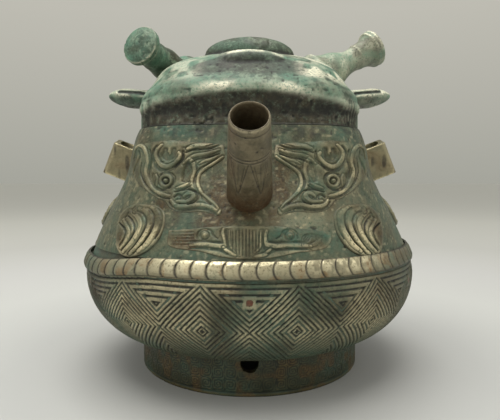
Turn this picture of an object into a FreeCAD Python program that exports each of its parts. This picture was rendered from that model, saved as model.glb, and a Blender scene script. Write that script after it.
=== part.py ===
import FreeCAD, Part
import math
import os
import Sketcher

# A lidded bronze ewer with a tubular spout. The round belly stands on a ring foot and narrows to a
# squarish neck. The hollow lid is a horned mask that looks up. Millimetres, +Z up, the spout points
# along -Y, and the origin is the middle of the foot's resting face.

doc = FreeCAD.newDocument("RitualEwer")
Vector = FreeCAD.Vector
Rotation = FreeCAD.Rotation
UP = Vector(0, 0, 1)

# Driving sizes, in millimetres and degrees
SIZES = [
    # Foot ring
    ("foot_radius", 60.5),
    ("foot_wall", 3.5),
    ("foot_height", 21.5),
    ("foot_hole_radius", 4.3),
    ("foot_hole_drop", 5.8),
    # Belly
    ("belly_radius", 89.5),
    ("belly_height", 51.9),
    ("belly_bottom", 18.2),
    ("wall", 3.5),
    ("floor_thickness", 3.5),
    ("lozenge_groove_width", 0.9),
    ("lozenge_groove_depth", 0.5),
    # Neck
    ("rim_height", 125.0),
    ("rim_half", 58.0),
    # Spout
    ("spout_stand_out", 45.11),
    ("spout_slope", 37.0),
    ("spout_tip_radius", 7.7),
    ("spout_root_radius", 10.4),
    ("spout_bore_radius", 6.6),
    # Tubular lugs
    ("lug_lean", 21.5),
    ("lug_depth", 16.0),
    ("lug_width", 15.0),
    ("lug_length", 20.5),
    ("lug_round", 3.0),
    ("lug_bore_radius", 4.4),
    ("lug_bore_offset", 9.0),
    # Scale band
    ("band_tall", 7.1),
    ("band_edge_rise", 0.9),
    ("band_crown", 1.0),
    # Raised ornament
    ("relief_thickness", 2.4),
    ("seat_gap", 0.3),
    ("dragon_near", 20.0),
    ("dragon_width", 29.0),
    ("dragon_tall", 28.0),
    ("dragon_ribbon", 6.5),
    ("panel_width", 68.0),
    ("panel_tall", 17.0),
    ("paw_angle", 49.0),
    ("paw_width", 31.0),
    ("paw_tall", 22.0),
    ("limb_angle", 84.0),
    ("limb_width", 27.0),
    ("limb_tall", 20.0),
    ("hind_paw_angle", 131.0),
    # Wall spacers
    ("chaplet_side", 4.2),
    ("chaplet_drop", 0.6),
    # Lid
    ("lid_inset", 0.8),
    ("lid_seat_gap", 0.3),
    ("lid_wall", 3.0),
    ("skirt_tall", 13.7),
    ("dome_tall", 29.6),
    ("chin_ridge_radius", 3.2),
    ("flange_clearance", 0.6),
    ("flange_wall", 2.6),
    ("flange_drop", 6.5),
    ("flange_rise", 7.0),
    # Bottle horns
    ("horn_root", 12.0),
    ("horn_base_radius", 15.0),
    ("horn_neck_radius", 7.2),
    ("horn_neck_height", 28.0),
    ("horn_cap_radius", 10.4),
    ("horn_flare_tall", 10.0),
    ("horn_bead", 3.0),
    ("horn_end_rise", 2.2),
    ("horn_wall", 2.4),
    ("left_horn_rise", 14.0),
    ("left_horn_forward", 66.0),
    ("right_horn_rise", 29.0),
    ("right_horn_forward", -15.0),
    # Pierced ears
    ("ear_stand_out", 23.3),
    ("ear_rise", 7.0),
    ("ear_setback", 3.0),
    ("ear_half_width", 14.0),
    ("ear_thickness", 5.4),
    ("ear_dish_depth", 3.4),
    ("ear_dish_rim", 4.0),
    ("ear_hole_radius", 2.6),
    ("ear_hole_stand_out", 14.8),
    # Working allowances
    ("overrun", 4.0),
]

# Radius of the lower belly's curve, as a share of the height that it spans
BELLY_CURVE_SHARE = 1.0267

# Neck stations: stem, share of the rise from the belly's widest line to the rim, share of the step in
# from the belly to the rim, and squareness, where 0 is a circle and 1 is the squarish mouth
NECK_STATION_SHARES = [
    ("join", 0.1382, 0.0730, 0.0),
    ("shoulder_low", 0.2476, 0.1873, 0.06),
    ("shoulder_mid", 0.3844, 0.3429, 0.22),
    ("shoulder_top", 0.5212, 0.5238, 0.42),
    ("neck_low", 0.6854, 0.7333, 0.7),
    ("neck_top", 0.8495, 0.8889, 1.0),
    ("rim", 1.0, 1.0, 1.0),
]

# Places on the neck, as shares of the same rise
NECK_PLACE_SHARES = [
    ("band_low", 0.1149),
    ("panel_height", 0.3475),
    ("paw_height", 0.3912),
    ("limb_height", 0.4254),
    ("dragon_low", 0.4938),
    ("spout_height", 0.5917),
    ("lug_height", 0.7702),
]

# How far the band's top stands clear of the wall's corners, as a share of the wall's half-width
BAND_CORNER_SHARE = 0.004

# Lid stations: stem, share of the dome's height, share of the lid's half-width, backward shift as a
# share of that half-width, and squareness
LID_STATION_SHARES = [
    ("cheek", 0.0, 1.0, 0.0, 1.0),
    ("jaw", 0.2703, 0.9615, 0.0, 1.0),
    ("mouth", 0.473, 0.8916, 0.0524, 0.95),
    ("face", 0.6588, 0.8042, 0.0962, 0.9),
    ("brow", 0.8108, 0.6906, 0.1399, 0.8),
    ("crown", 0.9291, 0.5245, 0.1748, 0.6),
    ("top", 1.0, 0.3322, 0.2098, 0.3),
]

# Forms of the face: half-width, depth, place to the side and setback as shares of the lid's half-width,
# and half-thickness and height as shares of the dome's height
FACE_SHARES = {
    "lip": (0.4545, 0.1224, 0.2196, 0.0, -0.6469, 0.6115),
    "nose": (0.4196, 0.201, 0.3209, 0.0, -0.2273, 0.9459),
    "bridge": (0.1486, 0.4371, 0.2703, 0.0, 0.1049, 0.9628),
    "eye": (0.1661, 0.1049, 0.1689, 0.4021, 0.0699, 0.8784),
}

# The jaw line's side and middle, and the horn's foot: side, setback and height in the same shares
CHIN_SIDE_SHARES = (0.8829, -0.6469, 0.0169)
CHIN_MIDDLE_SHARES = (0.0, -0.9528, 0.2432)
HORN_FOOT_SHARES = (0.7168, 0.2622, 0.7264)

# Curves of a horn's stem and flare, as shares of the heights that they span
STEM_CURVE_SHARE = 0.9545
FLARE_CURVE_SHARE = 1.4444

# The lozenges' middle and top line on the belly, and half their tallness, as shares of its lower rise
LOZENGE_MIDDLE_SHARE = 0.5935
LOZENGE_HALF_SHARE = 0.5697
LOZENGE_LINE_SHARE = 1.2166

# Places that follow the driving sizes
FOLLOWING = [
    ("belly_rise", "belly_height - belly_bottom"),
    ("lozenge_middle", "belly_bottom + %r * belly_rise" % LOZENGE_MIDDLE_SHARE),
    ("lozenge_half_tall", "%r * belly_rise" % LOZENGE_HALF_SHARE),
    ("lozenge_line", "belly_bottom + %r * belly_rise" % LOZENGE_LINE_SHARE),
    ("foot_hole_height", "foot_height - foot_hole_drop"),
    ("belly_curve", "%r * (belly_height - belly_bottom)" % BELLY_CURVE_SHARE),
    ("chaplet_height", "belly_height - chaplet_drop"),
    ("spout_depth", "2 * wall"),
    ("spout_length", "spout_stand_out + spout_depth"),
    ("lid_half", "rim_half - lid_inset"),
    ("lid_seat", "rim_height + lid_seat_gap"),
    ("flange_bottom", "rim_height - flange_drop"),
    ("flange_top", "rim_height + flange_rise"),
    ("horn_cap_height", "horn_neck_height + horn_flare_tall"),
    ("horn_stem_curve", "%r * horn_neck_height" % STEM_CURVE_SHARE),
    ("horn_flare_curve", "%r * horn_flare_tall" % FLARE_CURVE_SHARE),
    ("ear_reach", "lid_half + ear_stand_out"),
    ("ear_height", "lid_seat + skirt_tall + ear_rise"),
    ("ear_hole_reach", "lid_half + ear_hole_stand_out"),
]
for stem, rise_share, step_share, squareness in NECK_STATION_SHARES:
    FOLLOWING.append((stem + "_station", "belly_height + %r * (rim_height - belly_height)" % rise_share))
    FOLLOWING.append((stem + "_width", "belly_radius - %r * (belly_radius - rim_half)" % step_share))
for place, rise_share in NECK_PLACE_SHARES:
    FOLLOWING.append((place, "belly_height + %r * (rim_height - belly_height)" % rise_share))
FOLLOWING.append(("band_top", "band_low + band_tall"))
for stem, height_share, half_share, shift_share, squareness in LID_STATION_SHARES:
    FOLLOWING.append((stem + "_height", "lid_seat + skirt_tall + %r * dome_tall" % height_share))
    FOLLOWING.append((stem + "_half", "%r * lid_half" % half_share))
    FOLLOWING.append((stem + "_shift", "%r * lid_half" % shift_share))

sheet = doc.addObject("Spreadsheet::Sheet", "Sizes")
cells = [(alias, str(number)) for alias, number in SIZES]
cells += [(alias, "=" + formula) for alias, formula in FOLLOWING]
for line, (alias, content) in enumerate(cells, start=1):
    sheet.set("A%d" % line, alias)
    sheet.set("B%d" % line, content)
    sheet.setAlias("B%d" % line, alias)
doc.recompute()

# How far corners tighten and sides flatten at full squareness
CORNER_SHARE = 0.5
SIDE_SHARE = 0.72

# Half the angle of a side arc where the section is round, in degrees
ROUND_SWING = 20.0

# Spacers round the wall
CHAPLET_COUNT = 6

# Lozenges round the belly, and as shares of their half-tallness: the nested grooves in each, and where
# the bent strips between them have their points and their ends
LOZENGE_COUNT = 14
LOZENGE_RING_SHARES = (0.955, 0.625, 0.25)
WEDGE_SHARE = 0.375
WEDGE_STOP_SHARE = 0.95

# Ribbon: steps for each point of its middle line, and how its ends narrow
RIBBON_STEPS = 4
TAPER_POWER = 6
LEAST_TAPER_SHARE = 0.1

# Outlines of the raised ornament, as shares of half its width and half its height
PANEL_SHARES = [
    (-1.0, 0.05), (-0.86, 0.3), (-0.52, 0.42), (-0.3, 0.45), (-0.24, 1.0), (0.24, 1.0), (0.3, 0.45),
    (0.52, 0.42), (0.86, 0.3), (1.0, 0.05), (0.8, -0.28), (0.3, -0.35), (0.22, -1.0), (-0.22, -1.0),
    (-0.3, -0.35), (-0.8, -0.28),
]
PAW_SHARES = [
    (-0.95, -0.55), (-0.62, 0.05), (-0.55, 0.55), (-0.1, 0.98), (0.5, 0.9), (0.95, 0.35), (0.9, -0.3),
    (0.55, -0.75), (0.32, -0.45), (0.1, -0.95), (-0.15, -0.5), (-0.45, -0.98), (-0.5, -0.42),
]
LIMB_SHARES = [
    (-0.95, 0.1), (-0.6, 0.8), (0.1, 1.0), (0.75, 0.7), (1.0, 0.0), (0.6, -0.75), (0.0, -0.6),
    (-0.5, -1.0), (-0.85, -0.5),
]

# Middle line of a dragon's ribbon, as shares of its width and height from its near low corner
DRAGON_PATH_SHARES = [
    (0.12, 0.5), (0.2, 0.82), (0.5, 0.94), (0.8, 0.82), (0.88, 0.52), (0.68, 0.3), (0.42, 0.14),
    (0.14, 0.12),
]


def value(text):
    # A number worked out from the sheet, such as "Sizes.wall * 2"
    return float(sheet.evalExpression(text))


def size(alias):
    return float(sheet.get(alias))


def bind(thing, target, text):
    thing.setExpression(target, text)


def named_constraint(sketch, constraint, text):
    # Adds a constraint whose datum follows the sheet
    number = sketch.addConstraint(constraint)
    bind(sketch, "Constraints[%d]" % number, text)


def rounded_square(name, half, height, squareness, shift="0"):
    # A level section of four side arcs and four corner arcs, which is nearly a circle at squareness 0
    half_number = value(half)
    corner_text = "(%s) * %r" % (half, 1 - CORNER_SHARE * squareness)
    side_text = "(%s) / %r" % (half, 1 - SIDE_SHARE * squareness)
    setback_text = "(%s) - (%s)" % (side_text, half)
    corner = value(corner_text)
    side = value(side_text)
    setback = side - half_number
    inset = (math.sqrt(2 * (side - corner) ** 2 - setback ** 2) - setback) / 2
    swing = math.atan2(inset, inset + setback)
    sketch = doc.addObject("Sketcher::SketchObject", name)
    quarter = math.pi / 2
    for turn_number in range(4):
        turn = turn_number * quarter
        side_centre = Vector(-setback * math.cos(turn), -setback * math.sin(turn), 0)
        side_circle = Part.Circle(side_centre, UP, side)
        sketch.addGeometry(Part.ArcOfCircle(side_circle, turn - swing, turn + swing), False)
        diagonal = turn + quarter / 2
        corner_reach = inset * math.sqrt(2)
        corner_centre = Vector(math.cos(diagonal), math.sin(diagonal), 0) * corner_reach
        corner_circle = Part.Circle(corner_centre, UP, corner)
        sketch.addGeometry(Part.ArcOfCircle(corner_circle, turn + swing, turn + quarter - swing), False)
    for arc in range(8):
        sketch.addConstraint(Sketcher.Constraint("Tangent", arc, 2, (arc + 1) % 8, 1))
    for turn_number in range(4):
        axis = -1 if turn_number % 2 == 0 else -2
        sketch.addConstraint(Sketcher.Constraint("PointOnObject", 2 * turn_number, 3, axis))
    for turn_number in range(1, 4):
        sketch.addConstraint(Sketcher.Constraint("Equal", 0, 2 * turn_number))
        sketch.addConstraint(Sketcher.Constraint("Equal", 1, 2 * turn_number + 1))
    named_constraint(sketch, Sketcher.Constraint("Radius", 0, side), side_text)
    named_constraint(sketch, Sketcher.Constraint("Radius", 1, corner), corner_text)
    named_constraint(sketch, Sketcher.Constraint("DistanceX", 0, 3, -1, 1, setback), setback_text)
    named_constraint(sketch, Sketcher.Constraint("DistanceX", -1, 1, 4, 3, setback), setback_text)
    named_constraint(sketch, Sketcher.Constraint("DistanceY", 2, 3, -1, 1, setback), setback_text)
    named_constraint(sketch, Sketcher.Constraint("DistanceY", -1, 1, 6, 3, setback), setback_text)
    bind(sketch, "Placement.Base.z", height)
    bind(sketch, "Placement.Base.y", shift)
    return sketch


def round_section(name, radius, height):
    # A level circle in the same eight arcs as the squarish sections above it
    sketch = doc.addObject("Sketcher::SketchObject", name)
    circle = Part.Circle(Vector(), UP, value(radius))
    quarter = math.pi / 2
    swing = math.radians(ROUND_SWING)
    for turn_number in range(4):
        turn = turn_number * quarter
        sketch.addGeometry(Part.ArcOfCircle(circle, turn - swing, turn + swing), False)
        sketch.addGeometry(Part.ArcOfCircle(circle, turn + swing, turn + quarter - swing), False)
    for arc in range(8):
        sketch.addConstraint(Sketcher.Constraint("Coincident", arc, 3, -1, 1))
        if arc < 7:
            sketch.addConstraint(Sketcher.Constraint("Coincident", arc, 2, arc + 1, 1))
    named_constraint(sketch, Sketcher.Constraint("Radius", 0, value(radius)), radius)
    bind(sketch, "Placement.Base.z", height)
    return sketch


def outline(name, points, curves):
    # A closed outline in the XZ plane. points are pairs of expressions, and curves gives the radius
    # expression of each stretch that is an arc, by the number of its first point, with 1 where the
    # arc's centre lies left of the path and -1 where it lies right of it.
    sketch = doc.addObject("Sketcher::SketchObject", name)
    sketch.Placement = FreeCAD.Placement(Vector(), Rotation(Vector(1, 0, 0), 90))
    numbers = [(value(x), value(y)) for x, y in points]
    for index, (x, y) in enumerate(numbers):
        next_x, next_y = numbers[(index + 1) % len(numbers)]
        start = Vector(x, y, 0)
        end = Vector(next_x, next_y, 0)
        if index not in curves:
            sketch.addGeometry(Part.LineSegment(start, end), False)
            continue
        radius_text, side = curves[index]
        radius = value(radius_text)
        chord = end - start
        reach = math.sqrt(max(radius ** 2 - chord.Length ** 2 / 4, 0))
        across = Vector(-chord.y, chord.x, 0).normalize() * side
        centre = start + chord / 2 + across * reach
        first, last = (start, end) if side > 0 else (end, start)
        angles = [math.atan2(point.y - centre.y, point.x - centre.x) for point in (first, last)]
        if angles[1] < angles[0]:
            angles[1] += 2 * math.pi
        sketch.addGeometry(Part.ArcOfCircle(Part.Circle(centre, UP, radius), *angles), False)
    for index in range(len(numbers)):
        following = (index + 1) % len(numbers)
        first_end = end_position(sketch, index, numbers[following])
        second_start = end_position(sketch, following, numbers[following])
        joined = Sketcher.Constraint("Coincident", index, first_end, following, second_start)
        sketch.addConstraint(joined)
    for index, (x, y) in enumerate(numbers):
        position = end_position(sketch, index, (x, y))
        pin(sketch, "X", index, position, x, points[index][0])
        pin(sketch, "Y", index, position, y, points[index][1])
    for index, (radius_text, side) in curves.items():
        radius_rule = Sketcher.Constraint("Radius", index, value(radius_text))
        named_constraint(sketch, radius_rule, radius_text)
    return sketch


def end_position(sketch, index, point):
    # 1 or 2: which end of a stretch lies on the point, because an arc always runs anticlockwise
    curve = sketch.Geometry[index]
    target = Vector(point[0], point[1], 0)
    near_start = (curve.StartPoint - target).Length < (curve.EndPoint - target).Length
    return 1 if near_start else 2


def pin(sketch, direction, index, position, number, text):
    # Fixes one coordinate of a point, on the axis where it is zero
    if number == 0:
        axis = -2 if direction == "X" else -1
        sketch.addConstraint(Sketcher.Constraint("PointOnObject", index, position, axis))
    elif number > 0:
        rule = Sketcher.Constraint("Distance" + direction, -1, 1, index, position, number)
        named_constraint(sketch, rule, text)
    else:
        rule = Sketcher.Constraint("Distance" + direction, index, position, -1, 1, -number)
        named_constraint(sketch, rule, "-(%s)" % text)


def turned(name, sketch):
    # A solid of revolution about the Z axis
    solid = doc.addObject("Part::Revolution", name)
    solid.Source = sketch
    solid.Axis = UP
    solid.Base = Vector()
    solid.Angle = 360
    solid.Solid = True
    return solid


def lofted(name, sections, straight=False):
    solid = doc.addObject("Part::Loft", name)
    solid.Sections = sections
    solid.Solid = True
    solid.Ruled = straight
    return solid


def cut(name, base, tool):
    result = doc.addObject("Part::Cut", name)
    result.Base = base
    result.Tool = tool
    return result


def common(name, base, tool):
    result = doc.addObject("Part::Common", name)
    result.Base = base
    result.Tool = tool
    return result


def fused(name, shapes):
    result = doc.addObject("Part::MultiFuse", name)
    result.Shapes = shapes
    return result


def feature(name, shape):
    # A freeform piece, whose shape is worked out from the sheet by the calling function
    result = doc.addObject("Part::Feature", name)
    result.Shape = shape
    return result


# Walls of the vessel

CURVE_CENTRE = "(Sizes.belly_radius - Sizes.belly_curve)"
JOIN_RISE = "(Sizes.join_station - Sizes.belly_height)"
JOIN_DROP = "(Sizes.belly_radius - Sizes.join_width)"
UPPER_CURVE = "((%s ^ 2 + %s ^ 2) / (2 * %s))" % (JOIN_RISE, JOIN_DROP, JOIN_DROP)


def belly_wall(height, extra):
    # Radius of the belly between its widest line and the join, where its wall is moved out by extra
    rise = "(%s - Sizes.belly_height)" % height
    return "(Sizes.belly_radius - %s + sqrt((%s + %s) ^ 2 - %s ^ 2))" % (
        UPPER_CURVE, UPPER_CURVE, extra, rise)


def belly(name, extra, bottom):
    # The round lower wall, moved out by extra, from its level bottom up to the join
    low_curve = "(Sizes.belly_curve + %s)" % extra
    high_curve = "(%s + %s)" % (UPPER_CURVE, extra)
    depth = "(Sizes.belly_height - %s)" % bottom
    bottom_radius = "(%s + sqrt(%s ^ 2 - %s ^ 2))" % (CURVE_CENTRE, low_curve, depth)
    points = [
        ("0", bottom),
        (bottom_radius, bottom),
        ("Sizes.belly_radius + %s" % extra, "Sizes.belly_height"),
        (belly_wall("Sizes.join_station", extra), "Sizes.join_station"),
        ("0", "Sizes.join_station"),
    ]
    return turned(name, outline(name + "Outline", points, {1: (low_curve, 1), 2: (high_curve, 1)}))


def shoulder(name, extra):
    # The wall from the join up, moved out by extra
    sections = []
    for stem, rise_share, step_share, squareness in NECK_STATION_SHARES:
        section_name = "%s_%s" % (name, stem)
        height = "Sizes.%s_station" % stem
        if squareness == 0:
            sections.append(round_section(section_name, belly_wall(height, extra), height))
        else:
            half = "(Sizes.%s_width + %s)" % (stem, extra)
            sections.append(rounded_square(section_name, half, height, squareness))
    return lofted(name, sections)


def make_walls():
    outer_parts = [belly("BellyOuter", "0", "Sizes.belly_bottom"), shoulder("NeckOuter", "0")]
    outer = fused("OuterForm", outer_parts)
    floor_top = "(Sizes.foot_height + Sizes.floor_thickness)"
    inner_parts = [belly("BellyInner", "-Sizes.wall", floor_top), shoulder("NeckInner", "-Sizes.wall")]
    inner = fused("InnerForm", inner_parts)
    grown_parts = [
        belly("BellyGrown", "Sizes.seat_gap", "Sizes.belly_bottom"),
        shoulder("NeckGrown", "Sizes.seat_gap"),
    ]
    grown = fused("GrownForm", grown_parts)
    return outer, inner, grown


def make_spout(inner):
    # The tube starts inside the wall, crosses it at the spout's height and ends at its tilted mouth
    slope = math.radians(size("spout_slope"))
    direction = Vector(0, -math.cos(slope), math.sin(slope))
    seat = Vector(0, -wall_half(size("spout_height")), size("spout_height"))
    root = seat - direction * size("spout_depth")
    place = FreeCAD.Placement(root, Rotation(UP, direction))
    tube = doc.addObject("Part::Cone", "SpoutTube")
    bind(tube, "Radius1", "Sizes.spout_root_radius")
    bind(tube, "Radius2", "Sizes.spout_tip_radius")
    bind(tube, "Height", "Sizes.spout_length")
    tube.Placement = place
    bore_start = root - direction * size("overrun")
    bore = doc.addObject("Part::Cylinder", "SpoutBore")
    bind(bore, "Radius", "Sizes.spout_bore_radius")
    bind(bore, "Height", "Sizes.spout_length + 2 * Sizes.overrun")
    bore.Placement = FreeCAD.Placement(bore_start, place.Rotation)
    hole = doc.addObject("Part::Cone", "SpoutHole")
    bind(hole, "Radius1", "Sizes.spout_root_radius + Sizes.seat_gap")
    bind(hole, "Radius2", "Sizes.spout_tip_radius + Sizes.seat_gap")
    bind(hole, "Height", "Sizes.spout_length")
    hole.Placement = place
    hollow_tube = cut("SpoutHollow", tube, bore)
    return cut("Spout", hollow_tube, inner), hole


def make_chaplets(shell):
    # Small square metal spacers that kept the wall open while it was cast
    boxes = []
    for number in range(CHAPLET_COUNT):
        box = doc.addObject("Part::Box", "ChapletBox%d" % number)
        bind(box, "Length", "Sizes.chaplet_side")
        bind(box, "Width", "Sizes.wall + 2 * Sizes.overrun")
        bind(box, "Height", "Sizes.chaplet_side")
        turn = Rotation(UP, 360 * number / CHAPLET_COUNT)
        corner = Vector(-size("chaplet_side") / 2, -size("belly_radius") - size("overrun"),
                        size("chaplet_height") - size("chaplet_side") / 2)
        box.Placement = FreeCAD.Placement(turn.multVec(corner), turn)
        boxes.append(box)
    pockets = fused("ChapletPockets", boxes)
    return common("WallChaplets", pockets, shell), pockets


def trimmed_plate(wires, turn_angle, layer):
    # A plate of the first outline less those of the others, turned about the Z axis and kept within layer
    deep = Vector(0, -size("belly_radius") - size("overrun"), 0)
    solids = [Part.Face(wire).extrude(deep) for wire in wires]
    solid = solids[0]
    for hole in solids[1:]:
        solid = solid.cut(hole)
    solid.rotate(Vector(), UP, turn_angle)
    return solid.common(layer)


def rhombus(half_width, half_tall, middle):
    corners = [Vector(half_width, 0, middle), Vector(0, 0, middle + half_tall)]
    corners += [Vector(-half_width, 0, middle), Vector(0, 0, middle - half_tall)]
    return Part.makePolygon(corners + corners[:1])


def wedge(half_width, half_tall, middle, groove, way):
    # A bent strip whose point is nearest the lozenges' middle line, upward or downward by way
    slope = half_tall / half_width
    thick = groove / 2 * math.sqrt(1 + slope ** 2)
    point = middle + way * WEDGE_SHARE * half_tall
    side = half_width * (WEDGE_STOP_SHARE - WEDGE_SHARE)
    end = middle + way * WEDGE_STOP_SHARE * half_tall
    corners = [Vector(-side, 0, end + thick), Vector(0, 0, point + thick), Vector(side, 0, end + thick)]
    corners += [Vector(side, 0, end - thick), Vector(0, 0, point - thick), Vector(-side, 0, end - thick)]
    return Part.makePolygon(corners + corners[:1])


def make_lozenges():
    # The main cast grooves of the belly's nested lozenges, as thin solids just under its surface
    over = belly("GrooveOver", "Sizes.seat_gap", "Sizes.belly_bottom")
    floor = belly("GrooveFloor", "-Sizes.lozenge_groove_depth", "Sizes.belly_bottom")
    layer_form = cut("GrooveLayer", over, floor)
    doc.recompute()
    layer = layer_form.Shape
    middle = size("lozenge_middle")
    half_tall = size("lozenge_half_tall")
    fall = size("belly_height") - middle
    radius = value("%s + sqrt(Sizes.belly_curve ^ 2 - %r ^ 2)" % (CURVE_CENTRE, fall))
    step = 360 / LOZENGE_COUNT
    half_width = radius * math.sin(math.radians(step / 2))
    groove = size("lozenge_groove_width")
    half_share = groove / 2 * math.hypot(half_width, half_tall) / (half_width * half_tall)
    grooves = []
    for number in range(LOZENGE_COUNT):
        angle = (number + 0.5) * step
        for share in LOZENGE_RING_SHARES:
            outside = rhombus((share + half_share) * half_width, (share + half_share) * half_tall, middle)
            inside = rhombus((share - half_share) * half_width, (share - half_share) * half_tall, middle)
            grooves.append(trimmed_plate([outside, inside], angle, layer))
        for way in (-1, 1):
            strip = wedge(half_width, half_tall, middle, groove, way)
            grooves.append(trimmed_plate([strip], number * step, layer))
    return feature("LozengeGrooves", Part.Compound(grooves))


def make_line_groove():
    # The fine line round the belly above the lozenges
    half = "Sizes.lozenge_groove_width / 2"
    low = "(Sizes.lozenge_line - %s)" % half
    high = "(Sizes.lozenge_line + %s)" % half
    depth = "-Sizes.lozenge_groove_depth"
    points = [
        (belly_wall(low, depth), low),
        ("Sizes.belly_radius + Sizes.overrun", low),
        ("Sizes.belly_radius + Sizes.overrun", high),
        (belly_wall(high, depth), high),
    ]
    return turned("LineGroove", outline("LineGrooveOutline", points, {}))


def make_foot():
    # A turned ring with four round casting holes, one at each side
    body = doc.addObject("PartDesign::Body", "FootBody")
    planes = {}
    for item in body.Origin.OriginFeatures:
        planes[item.Role] = item
    section = body.newObject("Sketcher::SketchObject", "FootSection")
    section.AttachmentSupport = [(planes["XZ_Plane"], "")]
    section.MapMode = "FlatFace"
    outer = size("foot_radius")
    inner = outer - size("foot_wall")
    tall = size("foot_height")
    corners = [Vector(inner, 0, 0), Vector(outer, 0, 0), Vector(outer, tall, 0), Vector(inner, tall, 0)]
    for index, corner in enumerate(corners):
        section.addGeometry(Part.LineSegment(corner, corners[(index + 1) % 4]), False)
    for index in range(4):
        section.addConstraint(Sketcher.Constraint("Coincident", index, 2, (index + 1) % 4, 1))
    section.addConstraint(Sketcher.Constraint("PointOnObject", 0, 1, -1))
    for index, rule in enumerate(["Horizontal", "Vertical", "Horizontal", "Vertical"]):
        section.addConstraint(Sketcher.Constraint(rule, index))
    outer_rule = Sketcher.Constraint("DistanceX", -1, 1, 0, 2, outer)
    named_constraint(section, outer_rule, "Sizes.foot_radius")
    wall_rule = Sketcher.Constraint("DistanceX", 0, 1, 0, 2, outer - inner)
    named_constraint(section, wall_rule, "Sizes.foot_wall")
    tall_rule = Sketcher.Constraint("DistanceY", 1, 1, 1, 2, tall)
    named_constraint(section, tall_rule, "Sizes.foot_height")
    ring = body.newObject("PartDesign::Revolution", "FootTurn")
    ring.Profile = section
    ring.ReferenceAxis = (section, ["V_Axis"])
    ring.Angle = 360
    doc.recompute()
    for plane_name in ("XZ_Plane", "YZ_Plane"):
        hole = body.newObject("Sketcher::SketchObject", "FootHole" + plane_name[:2])
        hole.AttachmentSupport = [(planes[plane_name], "")]
        hole.MapMode = "FlatFace"
        centre = Vector(0, size("foot_hole_height"), 0)
        hole.addGeometry(Part.Circle(centre, UP, size("foot_hole_radius")), False)
        hole.addConstraint(Sketcher.Constraint("PointOnObject", 0, 3, -2))
        height_rule = Sketcher.Constraint("DistanceY", -1, 1, 0, 3, size("foot_hole_height"))
        named_constraint(hole, height_rule, "Sizes.foot_hole_height")
        radius_rule = Sketcher.Constraint("Radius", 0, size("foot_hole_radius"))
        named_constraint(hole, radius_rule, "Sizes.foot_hole_radius")
        drill = body.newObject("PartDesign::Pocket", "FootDrill" + plane_name[:2])
        drill.Profile = hole
        drill.Type = "ThroughAll"
        drill.Midplane = True
        doc.recompute()
    return body


def make_vessel(outer, inner, spout_hole, pockets):
    recess = doc.addObject("Part::Cylinder", "FootRecess")
    bind(recess, "Radius", "Sizes.foot_radius + Sizes.seat_gap")
    bind(recess, "Height", "Sizes.foot_height")
    hollow = cut("VesselHollow", outer, inner)
    seated = cut("VesselSeated", hollow, recess)
    pierced = cut("VesselPierced", seated, spout_hole)
    lined = cut("VesselLined", pierced, make_line_groove())
    carved = cut("VesselCarved", lined, make_lozenges())
    return cut("VesselBody", carved, pockets)


def wall_half(height):
    # Half-width of the wall at a height, between the two nearest stations
    stems = [station[0] for station in NECK_STATION_SHARES]
    stations = [(size(stem + "_station"), size(stem + "_width")) for stem in stems]
    for (low, low_half), (high, high_half) in zip(stations, stations[1:]):
        if height <= high:
            return low_half + (high_half - low_half) * (height - low) / (high - low)
    return stations[-1][1]


def make_lug(label, side, grown):
    # An upright tube of rounded rectangular section that leans with the neck's wall
    block = doc.addObject("Part::Box", label + "Block")
    bind(block, "Length", "Sizes.lug_depth + Sizes.overrun")
    bind(block, "Width", "Sizes.lug_width")
    bind(block, "Height", "Sizes.lug_length")
    doc.recompute()
    rounded = doc.addObject("Part::Fillet", label + "Rounded")
    rounded.Base = block
    radius = size("lug_round")
    edges = []
    for number, edge in enumerate(block.Shape.Edges, start=1):
        middle = edge.BoundBox.Center
        if abs(edge.BoundBox.ZLength - size("lug_length")) < radius and middle.x > size("lug_depth"):
            edges.append((number, radius, radius))
    rounded.Edges = edges
    bore = doc.addObject("Part::Cylinder", label + "Bore")
    bind(bore, "Radius", "Sizes.lug_bore_radius")
    bind(bore, "Height", "Sizes.lug_length + 2 * Sizes.overrun")
    lean = Rotation(Vector(0, 1, 0), -size("lug_lean"))
    turn = Rotation(UP, 0 if side > 0 else 180)
    seat = Vector(wall_half(size("lug_height")), 0, size("lug_height"))
    corner = Vector(-size("overrun"), -size("lug_width") / 2, -size("lug_length") / 2)
    bore_end = Vector(size("lug_bore_offset"), 0, -size("lug_length") / 2 - size("overrun"))
    for piece, local in ((rounded, corner), (bore, bore_end)):
        piece.Placement = FreeCAD.Placement(turn.multVec(seat + lean.multVec(local)), turn.multiply(lean))
    return cut(label, cut(label + "Tube", rounded, bore), grown)


def make_band():
    # The raised ring of scales above the belly's widest line, turned to stand just off the wall
    top_place = "((Sizes.band_top - Sizes.join_station) / (Sizes.shoulder_low_station - Sizes.join_station))"
    top_wall = "(Sizes.join_width + (Sizes.shoulder_low_width - Sizes.join_width) * %s)" % top_place
    low_seat = "(%s)" % belly_wall("Sizes.band_low", "Sizes.seat_gap")
    top_seat = "(%s * %r + Sizes.seat_gap)" % (top_wall, 1 + BAND_CORNER_SHARE)
    low_edge = "(%s + Sizes.band_edge_rise)" % low_seat
    top_edge = "(%s + Sizes.band_edge_rise)" % top_seat
    chord_square = "(Sizes.band_tall ^ 2 + (%s - %s) ^ 2)" % (low_edge, top_edge)
    radius = "((%s / 4 + Sizes.band_crown ^ 2) / (2 * Sizes.band_crown))" % chord_square
    points = [
        (low_seat, "Sizes.band_low"),
        (low_edge, "Sizes.band_low"),
        (top_edge, "Sizes.band_top"),
        (top_seat, "Sizes.band_top"),
    ]
    return turned("ScaleBand", outline("BandOutline", points, {1: (radius, 1)}))


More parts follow.
